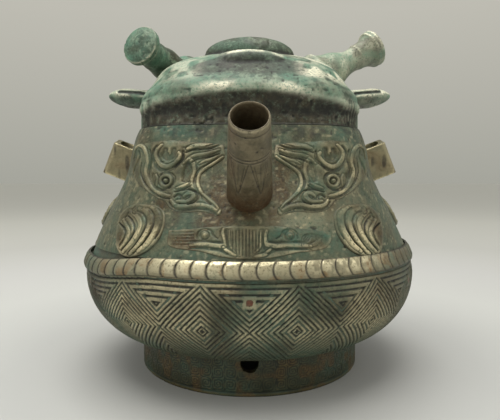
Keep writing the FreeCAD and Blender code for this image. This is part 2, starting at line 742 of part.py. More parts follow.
def plate(name, corners, turn_angle):
    # A flat plate of the given XZ outline, deep enough to cross the wall, turned about the Z axis
    wire = Part.makePolygon(corners + corners[:1])
    deep = Vector(0, -size("belly_radius") - size("overrun"), 0)
    solid = Part.Face(wire).extrude(deep)
    solid.rotate(Vector(), UP, turn_angle)
    return feature(name, solid)


def shared_outline(shares, side, stem):
    # The outline of an ornament whose width, tallness and height on the wall start with stem
    width = size(stem + "_width")
    tall = size(stem + "_tall")
    height = size(stem + "_height")
    corners = []
    for across, up in shares:
        corners.append(Vector(side * across * width / 2, 0, height + up * tall / 2))
    return corners


def ribbon_outline(side):
    # The dragon's body as a ribbon of even width along its middle line
    middle = []
    for across, up in DRAGON_PATH_SHARES:
        x = side * (size("dragon_near") + across * size("dragon_width"))
        middle.append(Vector(x, 0, size("dragon_low") + up * size("dragon_tall")))
    spline = Part.BSplineCurve()
    spline.interpolate(middle)
    left_edge = []
    right_edge = []
    steps = RIBBON_STEPS * len(middle)
    for step in range(steps + 1):
        share = step / steps
        along = spline.FirstParameter + share * (spline.LastParameter - spline.FirstParameter)
        tangent = spline.tangent(along)[0]
        normal = Vector(-tangent.z, 0, tangent.x)
        taper = math.sqrt(max(1 - (2 * share - 1) ** TAPER_POWER, LEAST_TAPER_SHARE))
        half = normal * (size("dragon_ribbon") / 2 * taper)
        left_edge.append(spline.value(along) + half)
        right_edge.append(spline.value(along) - half)
    return left_edge + right_edge[::-1]


def make_reliefs():
    # Raised ornament that hugs the wall, cut from a skin round the shoulder and neck
    skin_outside = shoulder("SkinOuter", "(Sizes.seat_gap + Sizes.relief_thickness)")
    skin_inside = shoulder("SkinInner", "Sizes.seat_gap")
    skin = cut("ReliefSkin", skin_outside, skin_inside)
    pieces = {}

    def add(label, corners, turn_angle):
        pieces[label] = common(label, plate(label + "Plate", corners, turn_angle), skin)

    panel = shared_outline(PANEL_SHARES, 1, "panel")
    add("FrontPanel", panel, 0)
    add("RearPanel", panel, 180)
    for word, side in (("Left", -1), ("Right", 1)):
        add(word + "Dragon", ribbon_outline(side), 0)
        add("Rear" + word + "Dragon", ribbon_outline(-side), 180)
        add(word + "Paw", shared_outline(PAW_SHARES, side, "paw"), side * size("paw_angle"))
        add(word + "HindPaw", shared_outline(PAW_SHARES, -side, "paw"), side * size("hind_paw_angle"))
        add(word + "Limb", shared_outline(LIMB_SHARES, side, "limb"), side * size("limb_angle"))
    return pieces


# The lid

def lid_form(name, extra):
    # The upright skirt and the dome above it, moved out by extra
    half = "(Sizes.lid_half + %s)" % extra
    seat_section = rounded_square(name + "_seat", half, "Sizes.lid_seat", 1.0)
    sections = []
    for stem, height_share, half_share, shift_share, squareness in LID_STATION_SHARES:
        station_half = "(Sizes.%s_half + %s)" % (stem, extra)
        station_height = "(Sizes.%s_height + %s)" % (stem, extra)
        shift = "Sizes.%s_shift" % stem
        section_name = "%s_%s" % (name, stem)
        sections.append(rounded_square(section_name, station_half, station_height, squareness, shift))
    skirt = lofted(name + "Skirt", [seat_section, sections[0]], straight=True)
    return fused(name, [skirt, lofted(name + "Dome", sections)])


def on_lid(side_share, setback_share, height_share):
    # A place on the lid from its shares of the half-width and of the dome's height
    half = size("lid_half")
    height = size("cheek_height") + height_share * size("dome_tall")
    return Vector(side_share * half, setback_share * half, height)


def ellipsoid(name, across, deep, thick, centre):
    ball = doc.addObject("Part::Ellipsoid", name)
    bind(ball, "Radius1", thick)
    bind(ball, "Radius2", across)
    bind(ball, "Radius3", deep)
    ball.Angle1 = -90
    ball.Angle2 = 90
    ball.Angle3 = 360
    ball.Placement = FreeCAD.Placement(centre, Rotation())
    return ball


def face_form(name, shares, side, extra="0"):
    # One rounded form of the face, grown by extra, on the left at side -1 and on the right at side 1
    across, deep, thick, spacing, setback, height = shares
    half_width = "(%r * Sizes.lid_half + %s)" % (across, extra)
    half_depth = "(%r * Sizes.lid_half + %s)" % (deep, extra)
    half_thickness = "(%r * Sizes.dome_tall + %s)" % (thick, extra)
    return ellipsoid(name, half_width, half_depth, half_thickness, on_lid(side * spacing, setback, height))


def make_lid_cover():
    # The lid's outside grown by the seat gap, which trims what stands on it
    covers = [lid_form("LidCoverDome", "Sizes.seat_gap")]
    for word, side in (("Left", -1), ("Right", 1)):
        covers.append(face_form(word + "EyeCover", FACE_SHARES["eye"], side, "Sizes.seat_gap"))
    return fused("LidCover", covers)


def chin_ridge(name):
    # The jaw line: a rounded ridge that arches from cheek to cheek
    side, setback, height = CHIN_SIDE_SHARES
    left = on_lid(-side, setback, height)
    right = on_lid(side, setback, height)
    arch = Part.Arc(left, on_lid(*CHIN_MIDDLE_SHARES), right).toShape()
    direction = arch.tangentAt(arch.FirstParameter)
    circle = Part.makeCircle(size("chin_ridge_radius"), left, direction)
    rod = Part.Wire([arch]).makePipeShell([Part.Wire([circle])], True, False)
    return feature(name, rod)


def make_lid():
    dome = lid_form("LidDome", "0")
    hollow = lid_form("LidHollow", "-Sizes.lid_wall")
    forms = [dome, chin_ridge("ChinRidge")]
    for stem in ("lip", "nose", "bridge"):
        forms.append(face_form(stem.capitalize() + "Form", FACE_SHARES[stem], 1))
    for word, side in (("Left", -1), ("Right", 1)):
        forms.append(face_form(word + "Eye", FACE_SHARES["eye"], side))
    return cut("LidMask", fused("LidSolid", forms), hollow)


def make_flange():
    # The collar inside the lid that drops into the mouth
    outside = "(Sizes.rim_half - Sizes.wall - Sizes.flange_clearance)"
    inside = "(%s - Sizes.flange_wall)" % outside
    rings = []
    for name, half in (("FlangeOuter", outside), ("FlangeInner", inside)):
        sections = []
        for end in ("bottom", "top"):
            sections.append(rounded_square("%s_%s" % (name, end), half, "Sizes.flange_%s" % end, 1.0))
        rings.append(lofted(name, sections, straight=True))
    return cut("LidFlange", rings[0], rings[1])


def horn_profile(name, shrink, end_height):
    # A bottle: wide base, concave stem, narrow neck and a flared cap
    root = "-Sizes.horn_root"
    base = "(Sizes.horn_base_radius - %s)" % shrink
    neck = "(Sizes.horn_neck_radius - %s)" % shrink
    cap = "(Sizes.horn_cap_radius - %s)" % shrink
    stem_curve = "(Sizes.horn_stem_curve + %s)" % shrink
    flare_curve = "(Sizes.horn_flare_curve + %s)" % shrink
    if end_height:
        points = [("0", root), (base, root), (base, "0"), (neck, "Sizes.horn_neck_height"),
                  (neck, end_height), ("0", end_height)]
        return outline(name, points, {2: (stem_curve, -1)})
    rise = "Sizes.horn_end_rise"
    dome = "((%s ^ 2 + %s ^ 2) / (2 * %s))" % (cap, rise, rise)
    bead_top = "(Sizes.horn_cap_height + Sizes.horn_bead)"
    points = [("0", root), (base, root), (base, "0"), (neck, "Sizes.horn_neck_height"),
              (cap, "Sizes.horn_cap_height"), (cap, bead_top), ("0", "(%s + %s)" % (bead_top, rise))]
    return outline(name, points, {2: (stem_curve, -1), 3: (flare_curve, -1), 5: (dome, 1)})


def make_horn(word, side, lid_cover):
    # A hollow horn with its clay core, both trimmed where they meet the dome
    rise = math.radians(size(word.lower() + "_horn_rise"))
    forward = math.radians(size(word.lower() + "_horn_forward"))
    direction = Vector(side * math.cos(rise) * math.cos(forward), -math.cos(rise) * math.sin(forward),
                       math.sin(rise))
    side_share, setback_share, height_share = HORN_FOOT_SHARES
    base = on_lid(side * side_share, setback_share, height_share)
    place = FreeCAD.Placement(base, Rotation(UP, direction))
    end_height = "(Sizes.horn_cap_height - Sizes.horn_wall)"
    core_end = "(%s - Sizes.seat_gap)" % end_height
    outside = turned(word + "HornOutside", horn_profile(word + "HornOutline", "0", None))
    inside = turned(word + "HornInside", horn_profile(word + "HornHollow", "Sizes.horn_wall", end_height))
    core_shrink = "(Sizes.horn_wall + Sizes.seat_gap)"
    core = turned(word + "CoreForm", horn_profile(word + "CoreOutline", core_shrink, core_end))
    for piece in (outside, inside, core):
        piece.Placement = place
    horn = cut(word + "Horn", cut(word + "HornShell", outside, inside), lid_cover)
    return horn, cut(word + "HornCore", core, lid_cover)


def make_ear(word, side, lid_cover):
    # A thick rounded ear that stands out level, dished on top and pierced
    root = size("lid_half") - size("lid_wall")
    reach = "(Sizes.ear_reach - Sizes.lid_half + Sizes.lid_wall)"
    centre = Vector(side * root, size("ear_setback"), size("ear_height"))
    form = ellipsoid(word + "EarForm", reach, "Sizes.ear_half_width", "Sizes.ear_thickness", centre)
    dish_centre = centre + UP * size("ear_thickness")
    dish = ellipsoid(word + "EarDish", "(%s - Sizes.ear_dish_rim)" % reach,
                     "(Sizes.ear_half_width - Sizes.ear_dish_rim)", "Sizes.ear_dish_depth", dish_centre)
    hole = doc.addObject("Part::Cylinder", word + "EarHole")
    bind(hole, "Radius", "Sizes.ear_hole_radius")
    bind(hole, "Height", "2 * Sizes.ear_thickness + 2 * Sizes.overrun")
    low = Vector(side * size("ear_hole_reach"), size("ear_setback"),
                 size("ear_height") - size("ear_thickness") - size("overrun"))
    hole.Placement = FreeCAD.Placement(low, Rotation())
    pierced = cut(word + "EarPierced", cut(word + "EarDished", form, dish), hole)
    return cut(word + "Ear", pierced, lid_cover)


# Assembly

outer, inner, grown = make_walls()
spout, spout_hole = make_spout(inner)
pocket_shell = cut("PocketShell", outer, inner)
chaplets, pockets = make_chaplets(pocket_shell)
vessel = make_vessel(outer, inner, spout_hole, pockets)
foot = make_foot()
nodes = {
    "vessel_body": vessel,
    "foot_ring": foot,
    "spout": spout,
    "left_lug": make_lug("LeftLug", -1, grown),
    "right_lug": make_lug("RightLug", 1, grown),
    "scale_band": make_band(),
    "wall_chaplets": chaplets,
}
reliefs = make_reliefs()
RELIEF_NAMES = {
    "FrontPanel": "front_bird_panel",
    "RearPanel": "rear_bird_panel",
    "LeftDragon": "left_spout_dragon",
    "RightDragon": "right_spout_dragon",
    "RearLeftDragon": "rear_left_dragon",
    "RearRightDragon": "rear_right_dragon",
    "LeftPaw": "left_front_paw",
    "RightPaw": "right_front_paw",
    "LeftHindPaw": "left_hind_paw",
    "RightHindPaw": "right_hind_paw",
    "LeftLimb": "left_limb",
    "RightLimb": "right_limb",
}
for label, node in RELIEF_NAMES.items():
    nodes[node] = reliefs[label]
lid_cover = make_lid_cover()
nodes["lid_mask"] = make_lid()
nodes["lid_flange"] = make_flange()
for word, side in (("Left", -1), ("Right", 1)):
    horn, core = make_horn(word, side, lid_cover)
    nodes[word.lower() + "_horn"] = horn
    nodes[word.lower() + "_horn_core"] = core
    nodes[word.lower() + "_ear"] = make_ear(word, side, lid_cover)
for node, piece in nodes.items():
    piece.Label = node
doc.recompute()

# Checks before anything is written
for item in doc.Objects:
    faults = [word for word in item.State if word in ("Invalid", "Error")]
    if faults:
        raise RuntimeError("%s failed: %s" % (item.Name, faults))
os.makedirs("parts", exist_ok=True)
for node, piece in nodes.items():
    shape = piece.Shape
    if shape.isNull() or not shape.isValid():
        raise RuntimeError("%s has no sound shape" % node)
    box = shape.BoundBox
    corners = (box.XMin, box.XMax, box.YMin, box.YMax, box.ZMin, box.ZMax)
    extent = "x %.1f %.1f y %.1f %.1f z %.1f %.1f" % corners
    print("%-20s %d solids, %.0f mm3, %s" % (node, len(shape.Solids), shape.Volume, extent))
    shape.exportStep("parts/%s.step" % node)
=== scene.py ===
import bmesh
import bpy
import math
import numpy as np
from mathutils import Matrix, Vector


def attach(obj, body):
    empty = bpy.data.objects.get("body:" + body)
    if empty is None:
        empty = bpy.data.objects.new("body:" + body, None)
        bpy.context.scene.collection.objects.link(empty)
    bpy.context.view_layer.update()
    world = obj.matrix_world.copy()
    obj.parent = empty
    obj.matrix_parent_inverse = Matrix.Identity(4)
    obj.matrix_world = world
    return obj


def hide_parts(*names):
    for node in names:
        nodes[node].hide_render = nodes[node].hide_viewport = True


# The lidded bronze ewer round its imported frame. Working sizes are millimetres in the row frame: the foot
# rests on z 0, the spout points along -Y, and az is the angle round the axis from the front towards +X.

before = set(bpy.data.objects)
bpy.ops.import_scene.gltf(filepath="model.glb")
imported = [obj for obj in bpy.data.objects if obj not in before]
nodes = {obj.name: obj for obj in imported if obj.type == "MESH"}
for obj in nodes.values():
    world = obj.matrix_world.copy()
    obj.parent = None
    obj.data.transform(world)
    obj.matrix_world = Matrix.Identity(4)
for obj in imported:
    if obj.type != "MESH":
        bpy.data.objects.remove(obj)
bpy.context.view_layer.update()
MM = 0.001

# Forms that follow the CAD

BELLY_RADIUS, BELLY_HEIGHT, BELLY_BOTTOM = 89.5, 51.9, 18.2
LOW_CURVE, HIGH_CURVE = 34.6, 23.33
NECK_Z = np.array([62.0, 70.0, 80.0, 90.0, 102.0, 114.0, 125.0])
NECK_HALF = np.array([87.2, 83.6, 78.7, 73.0, 66.4, 61.5, 58.0])
NECK_SQUARE = np.array([0.0, 0.06, 0.22, 0.42, 0.7, 1.0, 1.0])
LID_Z = np.array([139.0, 147.0, 153.0, 158.5, 163.0, 166.5, 168.6])
LID_HALF = np.array([57.2, 55.0, 51.0, 46.0, 39.5, 30.0, 19.0])
LID_SHIFT = np.array([0.0, 0.0, 3.0, 5.5, 8.0, 10.0, 12.0])
LID_SQUARE = np.array([1.0, 1.0, 0.95, 0.9, 0.8, 0.6, 0.3])
LID_SEAT = 125.3
WALL_TOP = 125.0
SPOUT_TIP = np.array([0.0, -106.194, 122.298])
SPOUT_WAY = np.array([0.0, -0.79864, 0.60182])
FOOT_RADIUS, FOOT_HOLE_Z, FOOT_HOLE_RADIUS = 60.5, 15.7, 4.3
LOZENGE_TURN = 2 * math.pi / 14
LOZENGE_MIDDLE, LOZENGE_REACH, TOP_LINE = 38.2, 19.2, 59.2
SCALES = 82


def spline(x, y):
    # Cubic spline through the points, whose first two and last two stretches share one cubic
    n = len(x)
    h = np.diff(x)
    a = np.zeros((n, n))
    r = np.zeros(n)
    a[0, :3] = h[1], -(h[0] + h[1]), h[0]
    a[-1, -3:] = h[-1], -(h[-2] + h[-1]), h[-2]
    for i in range(1, n - 1):
        a[i, i - 1:i + 2] = h[i - 1], 2 * (h[i - 1] + h[i]), h[i]
        r[i] = 6 * ((y[i + 1] - y[i]) / h[i] - (y[i] - y[i - 1]) / h[i - 1])
    m = np.linalg.solve(a, r)

    def read(t):
        t = np.asarray(t, float)
        i = np.clip(np.searchsorted(x, t) - 1, 0, n - 2)
        d, e = t - x[i], x[i + 1] - t
        cubic = (m[i] * e ** 3 + m[i + 1] * d ** 3) / (6 * h[i])
        return cubic + (y[i] / h[i] - m[i] * h[i] / 6) * e + (y[i + 1] / h[i] - m[i + 1] * h[i] / 6) * d
    return read


neck_half = spline(NECK_Z, NECK_HALF)
neck_square = spline(NECK_Z, NECK_SQUARE)
lid_half = spline(LID_Z, LID_HALF)
lid_shift = spline(LID_Z, LID_SHIFT)
lid_square = spline(LID_Z, LID_SQUARE)


def squarish(az, half, square):
    # Reach of a section of four side arcs and four corner arcs
    corner = half * (1 - 0.5 * square)
    side = half / (1 - 0.72 * square)
    back = side - half
    inset = (np.sqrt(np.maximum(2 * (side - corner) ** 2 - back ** 2, 0)) - back) / 2
    swing = np.arctan2(inset, inset + back)
    limit = np.arctan2(side * np.sin(swing), side * np.cos(swing) - back)
    a = np.abs((az + np.pi / 4) % (np.pi / 2) - np.pi / 4)
    on_side = -back * np.cos(a) + np.sqrt(np.maximum(side ** 2 - (back * np.sin(a)) ** 2, 0))
    d, t = inset * math.sqrt(2), a - np.pi / 4
    on_corner = d * np.cos(t) + np.sqrt(np.maximum(corner ** 2 - (d * np.sin(t)) ** 2, 0))
    return np.where(a < limit, on_side, on_corner)


def wall(az, z):
    # Reach of the vessel's outside at each angle and height
    z = np.asarray(z, float)

    def belly(curve):
        return BELLY_RADIUS - curve + np.sqrt(np.maximum(curve ** 2 - (z - BELLY_HEIGHT) ** 2, 0))

    top = np.maximum(z, NECK_Z[0])
    neck = squarish(az, neck_half(top), np.maximum(neck_square(top), 0))
    return np.where(z < BELLY_HEIGHT, belly(LOW_CURVE), np.where(z < NECK_Z[0], belly(HIGH_CURVE), neck))


def past_wall(p):
    # How far each place lies outside the wall
    az = np.arctan2(p[:, 0], -p[:, 1])
    return np.hypot(p[:, 0], p[:, 1]) - wall(az, np.clip(p[:, 2], BELLY_BOTTOM, WALL_TOP))


def round_axis(az, reach, z):
    return np.stack([reach * np.sin(az), -reach * np.cos(az), z], -1)


def on_wall(az, z):
    return round_axis(az, wall(az, z), z)


def wrapped(angle):
    # The same direction, as an angle within half a turn of the front
    return np.arctan2(np.sin(angle), np.cos(angle))


# Noise and small tools

def lattice(ix, iy, iz, seed):
    h = (ix * 374761393 + iy * 668265263 + iz * 1440662683 + seed * 974711) & 0xFFFFFFFF
    h = ((h ^ (h >> 13)) * 1274126177) & 0xFFFFFFFF
    return ((h ^ (h >> 16)) & 0xFFFF) / 65535.0


def noise(p, cell, seed=0):
    # Smooth value noise from 0 to 1 at points p
    q = np.asarray(p, float) / cell + 1000.0
    base = np.floor(q).astype(np.int64)
    f = q - base
    f = f * f * (3 - 2 * f)
    total = 0.0
    for dx in (0, 1):
        for dy in (0, 1):
            for dz in (0, 1):
                weight = np.abs(1 - dx - f[..., 0]) * np.abs(1 - dy - f[..., 1]) * np.abs(1 - dz - f[..., 2])
                total = total + weight * lattice(base[..., 0] + dx, base[..., 1] + dy, base[..., 2] + dz, seed)
    return total


def rough(p, cell, seed=0, octaves=3):
    # Layered noise about 0, from -1 to 1
    total, weight = 0.0, 0.0
    for k in range(octaves):
        total = total + (noise(p, cell / 2 ** k, seed + k) - 0.5) * 2 / 2 ** k
        weight += 1 / 2 ** k
    return total / weight


def unit(x):
    return np.clip(x, 0, 1)


def smooth(x, low, high):
    t = unit((x - low) / (high - low))
    return t * t * (3 - 2 * t)


def specks(p, cell, seed, low, high):
    # Soft-edged spots of noise
    return smooth(noise(p, cell, seed), low, high)


def bell(x, width):
    return np.exp(-(x / width) ** 2)


def curve_through(points, steps=6):
    # A denser polyline through the points, rounded as a Catmull-Rom curve
    p = np.array(points, float)
    if len(p) < 3:
        return p
    ends = np.vstack([2 * p[0] - p[1], p, 2 * p[-1] - p[-2]])
    out = []
    for i in range(1, len(ends) - 2):
        a, b, c, d = ends[i - 1:i + 3]
        for t in np.arange(steps) / steps:
            bend = (2 * a - 5 * b + 4 * c - d) * t ** 2
            out.append(0.5 * (2 * b + (c - a) * t + bend + (3 * b - a - 3 * c + d) * t ** 3))
    out.append(p[-1])
    return np.array(out)


def line_distance(points, line):
    # Distance from 2D points to a polyline, and how far along it the nearest place is, from 0 to 1
    best = np.full(points.shape[:-1], 1e9)
    along = np.zeros(points.shape[:-1])
    count = len(line) - 1
    for i in range(count):
        a, b = line[i], line[i + 1]
        ab = b - a
        length = max(float(ab @ ab), 1e-12)
        t = np.clip(((points - a) @ ab) / length, 0, 1)
        d = np.hypot(points[..., 0] - a[0] - t * ab[0], points[..., 1] - a[1] - t * ab[1])
        near = d < best
        best = np.where(near, d, best)
        along = np.where(near, (i + t) / count, along)
    return best, along


def inside(points, polygon):
    x, y = points[..., 0], points[..., 1]
    found = np.zeros(x.shape, bool)
    for i in range(len(polygon)):
        (x0, y0), (x1, y1) = polygon[i - 1], polygon[i]
        crosses = (y0 > y) != (y1 > y)
        at = x0 + (y - y0) * (x1 - x0) / (y1 - y0 if y1 != y0 else 1e-9)
        found ^= crosses & (x < at)
    return found


# Mesh making

def normals_of(grid):
    # Outward normals of a grid of points whose first index runs round and whose second runs upward
    n = np.cross(np.gradient(grid, axis=0), np.gradient(grid, axis=1))
    return n / np.maximum(np.linalg.norm(n, axis=-1, keepdims=True), 1e-12)


def linked(name, data):
    obj = bpy.data.objects.new(name, data)
    bpy.context.scene.collection.objects.link(obj)
    return obj


def read(mesh, what):
    # The places or the normals of a mesh's points
    values = np.zeros(len(mesh.vertices) * 3)
    mesh.vertices.foreach_get(what, values)
    return values.reshape(-1, 3)


def write_marks(mesh, marks):
    layer = mesh.attributes.new("marks", "FLOAT_COLOR", "POINT")
    layer.data.foreach_set("color", marks.astype(np.float32).ravel())


def mesh_object(name, points, faces):
    # points in millimetres; faces are quads as one array
    mesh = bpy.data.meshes.new(name)
    points = np.asarray(points, np.float32) * MM
    faces = np.asarray(faces, np.int32)
    mesh.vertices.add(len(points))
    mesh.vertices.foreach_set("co", points.ravel())
    mesh.loops.add(faces.size)
    mesh.loops.foreach_set("vertex_index", faces.ravel())
    mesh.polygons.add(len(faces))
    mesh.polygons.foreach_set("loop_start", np.arange(0, faces.size, 4, dtype=np.int32))
    mesh.update(calc_edges=True)
    mesh.validate()
    mesh.shade_smooth()
    return linked(name, mesh)


def grid_faces(rows, columns, closed, mask=None, flip=False):
    # Quads of a grid of rows round and columns up. mask drops faces.
    last = rows if closed else rows - 1
    i, j = np.meshgrid(np.arange(last), np.arange(columns - 1), indexing="ij")
    k = (i + 1) % rows
    quads = np.stack([i * columns + j, k * columns + j, k * columns + j + 1, i * columns + j + 1], -1)
    if mask is not None:
        quads = quads[mask]
    quads = quads.reshape(-1, 4)
    return quads[:, ::-1] if flip else quads

def border_edges(quads):
    # Directed edges that only one face has
    edges = np.concatenate([quads[:, [k, (k + 1) % 4]] for k in range(4)])
    key = edges.astype(np.int64) @ np.array([1 << 32, 1])
    back = edges.astype(np.int64) @ np.array([1, 1 << 32])
    return edges[~np.isin(key, back)]


def slab(name, top, under, quads, marks, under_marks=None, crisp=None):
    # A closed piece between two grids of the same layout. Edges bent more than crisp degrees stay sharp.
    under_marks = marks if under_marks is None else under_marks
    count = top[..., 0].size
    rim = border_edges(quads)
    walls = np.stack([rim[:, 1], rim[:, 0], rim[:, 0] + count, rim[:, 1] + count], -1)
    faces = np.concatenate([quads, quads[:, ::-1] + count, walls])
    used = np.unique(faces)
    lookup = np.zeros(2 * count, np.int64)
    lookup[used] = np.arange(len(used))
    points = np.concatenate([top.reshape(-1, 3), under.reshape(-1, 3)])[used]
    obj = mesh_object(name, points, lookup[faces])
    write_marks(obj.data, np.hstack([marks.reshape(4, -1), under_marks.reshape(4, -1)]).T[used])
    if crisp:
        obj.data.set_sharp_from_angle(angle=math.radians(crisp))
    return obj


def place(obj, body, slot, material, *replaced):
    obj.data.materials.clear()
    obj.data.materials.append(material)
    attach(obj, body)
    if replaced:
        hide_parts(*replaced)


# Photograph places on the wall

EYE = np.array([0.0, -276.0, 99.1])
PITCH, FOCUS, MIDDLE = math.radians(3.36), 480.0, (249.5, 210.0)


def ray(px, py):
    # Direction from the eye through a place in the picture, for drawing strokes where they are seen
    right, up = (px - MIDDLE[0]) / FOCUS, (MIDDLE[1] - py) / FOCUS
    return np.array([right, math.cos(PITCH) + up * math.sin(PITCH), up * math.cos(PITCH) - math.sin(PITCH)])


def seen_on_wall(px, py):
    # Angle and height of the wall's first point on that ray
    p = EYE + np.linspace(120.0, 420.0, 3001)[:, None] * ray(px, py)
    gap = past_wall(p)
    hit = p[np.argmax(gap <= 0) if (gap <= 0).any() else np.argmin(gap)]
    return np.arctan2(hit[0], -hit[1]), hit[2]


def patches(az, z, *spots):
    # Soft patches on the wall: each a weight, its place in the picture, and its reaches in millimetres
    total = 0.0
    for weight, px, py, wide, tall in spots:
        middle, height = seen_on_wall(px, py)
        off = wrapped(az - middle) * 75.0
        total = total + weight * np.exp(-(off / wide) ** 2 - ((z - height) / tall) ** 2)
    return total


def sag(az):
    # The band and the lozenges hang lower at the vessel's left side, which was cast a little askew
    left = -wrapped(az)
    return 4.0 * smooth(left, 0.42, 0.98) * (1 - smooth(left, 1.9, 2.7))


# Materials

def feed(tree, node, inputs):
    # Each input gets a value, or a link where it is another node's socket
    for key, value in inputs.items():
        if isinstance(value, bpy.types.NodeSocket):
            tree.links.new(value, node.inputs[key])
        else:
            node.inputs[key].default_value = value


def add(tree, kind, inputs, **settings):
    node = tree.nodes.new("ShaderNode" + kind)
    for key, value in settings.items():
        setattr(node, key, value)
    feed(tree, node, inputs)
    return node


def ramp(tree, low, high, value):
    inputs = {"From Min": low, "From Max": high, "Value": value}
    return add(tree, "MapRange", inputs, interpolation_type="SMOOTHSTEP").outputs["Result"]


def product(tree, a, b, operation="MULTIPLY"):
    return add(tree, "Math", {0: a, 1: b}, operation=operation, use_clamp=True).outputs[0]


def blend_colour(tree, share, below, above):
    return add(tree, "Mix", {"Factor": share, "A": below, "B": above}, data_type="RGBA").outputs["Result"]


def speckle(tree, where, scale, detail, roughness, offset):
    shift = (offset, 1.7 * offset, 0.6 * offset)
    where = add(tree, "VectorMath", {0: where, 1: shift}, operation="ADD").outputs[0]
    inputs = {"Vector": where, "Scale": scale, "Detail": detail, "Roughness": roughness}
    return add(tree, "TexNoise", inputs).outputs["Fac"]


def srgb(*colour):
    # A colour of the picture as linear light
    shares = [c / 255.0 for c in colour]
    return tuple(c / 12.92 if c <= 0.04045 else ((c + 0.055) / 1.055) ** 2.4 for c in shares) + (1.0,)


def bronze(name, *colours, metal=0.35, rough_low=0.3, rough_high=0.6, grain=0.25, base_green=0.0, base_worn=0.0,
           metal_worn=0.45, mottle=(0.36, 0.64), grit=0.3):
    # Old cast bronze. The marks on a mesh give the dark of hollows, which is grime and painted shade, the bright of
    # rubbed heights, which is wear and painted highlight, the brown crust and the green.
    ground, second, worn, dark, green, crust = (srgb(*colour) for colour in colours)
    material = bpy.data.materials.new(name)
    material.use_nodes = True
    tree = material.node_tree
    where = add(tree, "TexCoord", {}).outputs["Object"]
    marks = add(tree, "Attribute", {}, attribute_name="marks")
    hollow, wear_and_highlight, brown = add(tree, "SeparateColor", {0: marks.outputs["Color"]}).outputs
    teal = marks.outputs["Alpha"]
    broad = speckle(tree, where, 55.0, 3.0, 0.55, 0.13)
    medium = speckle(tree, where, 210.0, 4.0, 0.62, 0.41)
    fine = speckle(tree, where, 900.0, 3.0, 0.7, 0.77)
    spots = speckle(tree, where, 420.0, 5.0, 0.7, 1.31)
    colour = blend_colour(tree, ramp(tree, *mottle, medium), ground, second)
    green_share = product(tree, product(tree, teal, base_green, "ADD"), ramp(tree, 0.3, 0.62, broad))
    green_share = product(tree, green_share, ramp(tree, 0.25, 0.55, spots))
    colour = blend_colour(tree, green_share, colour, green)
    crust_share = product(tree, product(tree, brown, 1.0), ramp(tree, 0.26, 0.54, spots))
    colour = blend_colour(tree, crust_share, colour, crust)
    gritty = product(tree, ramp(tree, 0.4, 0.62, fine), product(tree, product(tree, crust_share, 0.3), grit, "ADD"))
    colour = blend_colour(tree, gritty, colour, dark)
    wear_and_highlight_share = product(tree, product(tree, wear_and_highlight, base_worn, "ADD"), ramp(tree, 0.28, 0.55, fine))
    colour = blend_colour(tree, wear_and_highlight_share, colour, worn)
    depth = product(tree, product(tree, ramp(tree, 0.35, 0.6, spots), 0.3), 0.7, "ADD")
    dark_share = product(tree, hollow, depth)
    pits = product(tree, ramp(tree, 0.63, 0.74, spots), 0.6)
    colour = blend_colour(tree, product(tree, dark_share, pits, "MAXIMUM"), colour, dark)
    shine = product(tree, product(tree, wear_and_highlight_share, metal_worn), metal, "ADD")
    dull = product(tree, product(tree, green_share, dark_share, "MAXIMUM"), 0.55)
    matt = product(tree, product(tree, medium, dull, "ADD"), product(tree, wear_and_highlight_share, 0.35), "SUBTRACT")
    gloss = add(tree, "MapRange", {"To Min": rough_low, "To Max": rough_high, "Value": matt})
    skin_noise = product(tree, product(tree, fine, 0.45), product(tree, spots, 0.55), "ADD")
    bump = add(tree, "Bump", {"Strength": grain, "Distance": 0.0006, "Height": skin_noise})
    feed(tree, tree.nodes["Principled BSDF"], {
        "Base Color": colour, "Metallic": product(tree, shine, dull, "SUBTRACT"),
        "Roughness": gloss.outputs["Result"], "Normal": bump.outputs["Normal"]})
    return material


# The colours are the ground, its second tone, worn metal that also paints highlights, the dark of hollows and of
# painted shade, green and crust
body_bronze = bronze("body_bronze", (86, 98, 76), (122, 121, 94), (220, 208, 168), (24, 23, 15), (60, 98, 78),
                     (84, 68, 38), grain=0.5)
worn_bronze = bronze("worn_bronze", (118, 114, 90), (144, 136, 108), (232, 222, 186), (32, 29, 19), (76, 108, 88),
                     (124, 92, 50), metal=0.5)
spout_bronze = bronze("spout_bronze", (98, 92, 73), (128, 118, 94), (190, 178, 148), (46, 38, 28), (84, 100, 84),
                      (90, 66, 42), metal=0.4, grain=0.12, grit=0.15)
lug_bronze = bronze("lug_bronze", (148, 139, 108), (122, 115, 88), (206, 194, 154), (48, 42, 28), (90, 110, 90),
                    (104, 76, 46), base_worn=0.2)
patina_green = bronze("patina_green", (58, 76, 58), (128, 146, 122), (236, 233, 206), (20, 22, 14), (98, 142, 118),
                      (64, 57, 36), metal=0.2, rough_low=0.32, rough_high=0.68, base_green=0.1, grain=0.4,
                      metal_worn=0.3, mottle=(0.42, 0.58))
foot_bronze = bronze("foot_bronze", (42, 49, 35), (62, 65, 45), (146, 132, 86), (15, 16, 10), (50, 78, 62),
                     (92, 72, 38), metal=0.3, base_green=0.3, grain=0.35)
core_clay = bronze("core_clay", (122, 92, 68), (146, 112, 82), (160, 130, 100), (60, 42, 30), (110, 100, 80),
                   (110, 70, 48), metal=0.0, rough_low=0.8, rough_high=0.95, grain=0.6)
chaplet_red = bronze("chaplet_red", (116, 58, 36), (96, 48, 30), (170, 110, 76), (40, 20, 14), (90, 80, 58),
                     (96, 46, 28), metal=0.3, grain=0.3)
inner_bronze = bronze("inner_bronze", (74, 72, 56), (92, 88, 66), (120, 112, 84), (26, 24, 18), (80, 106, 90),
                      (86, 58, 36), base_green=0.5, grain=0.4)

# Vessel body and its ground

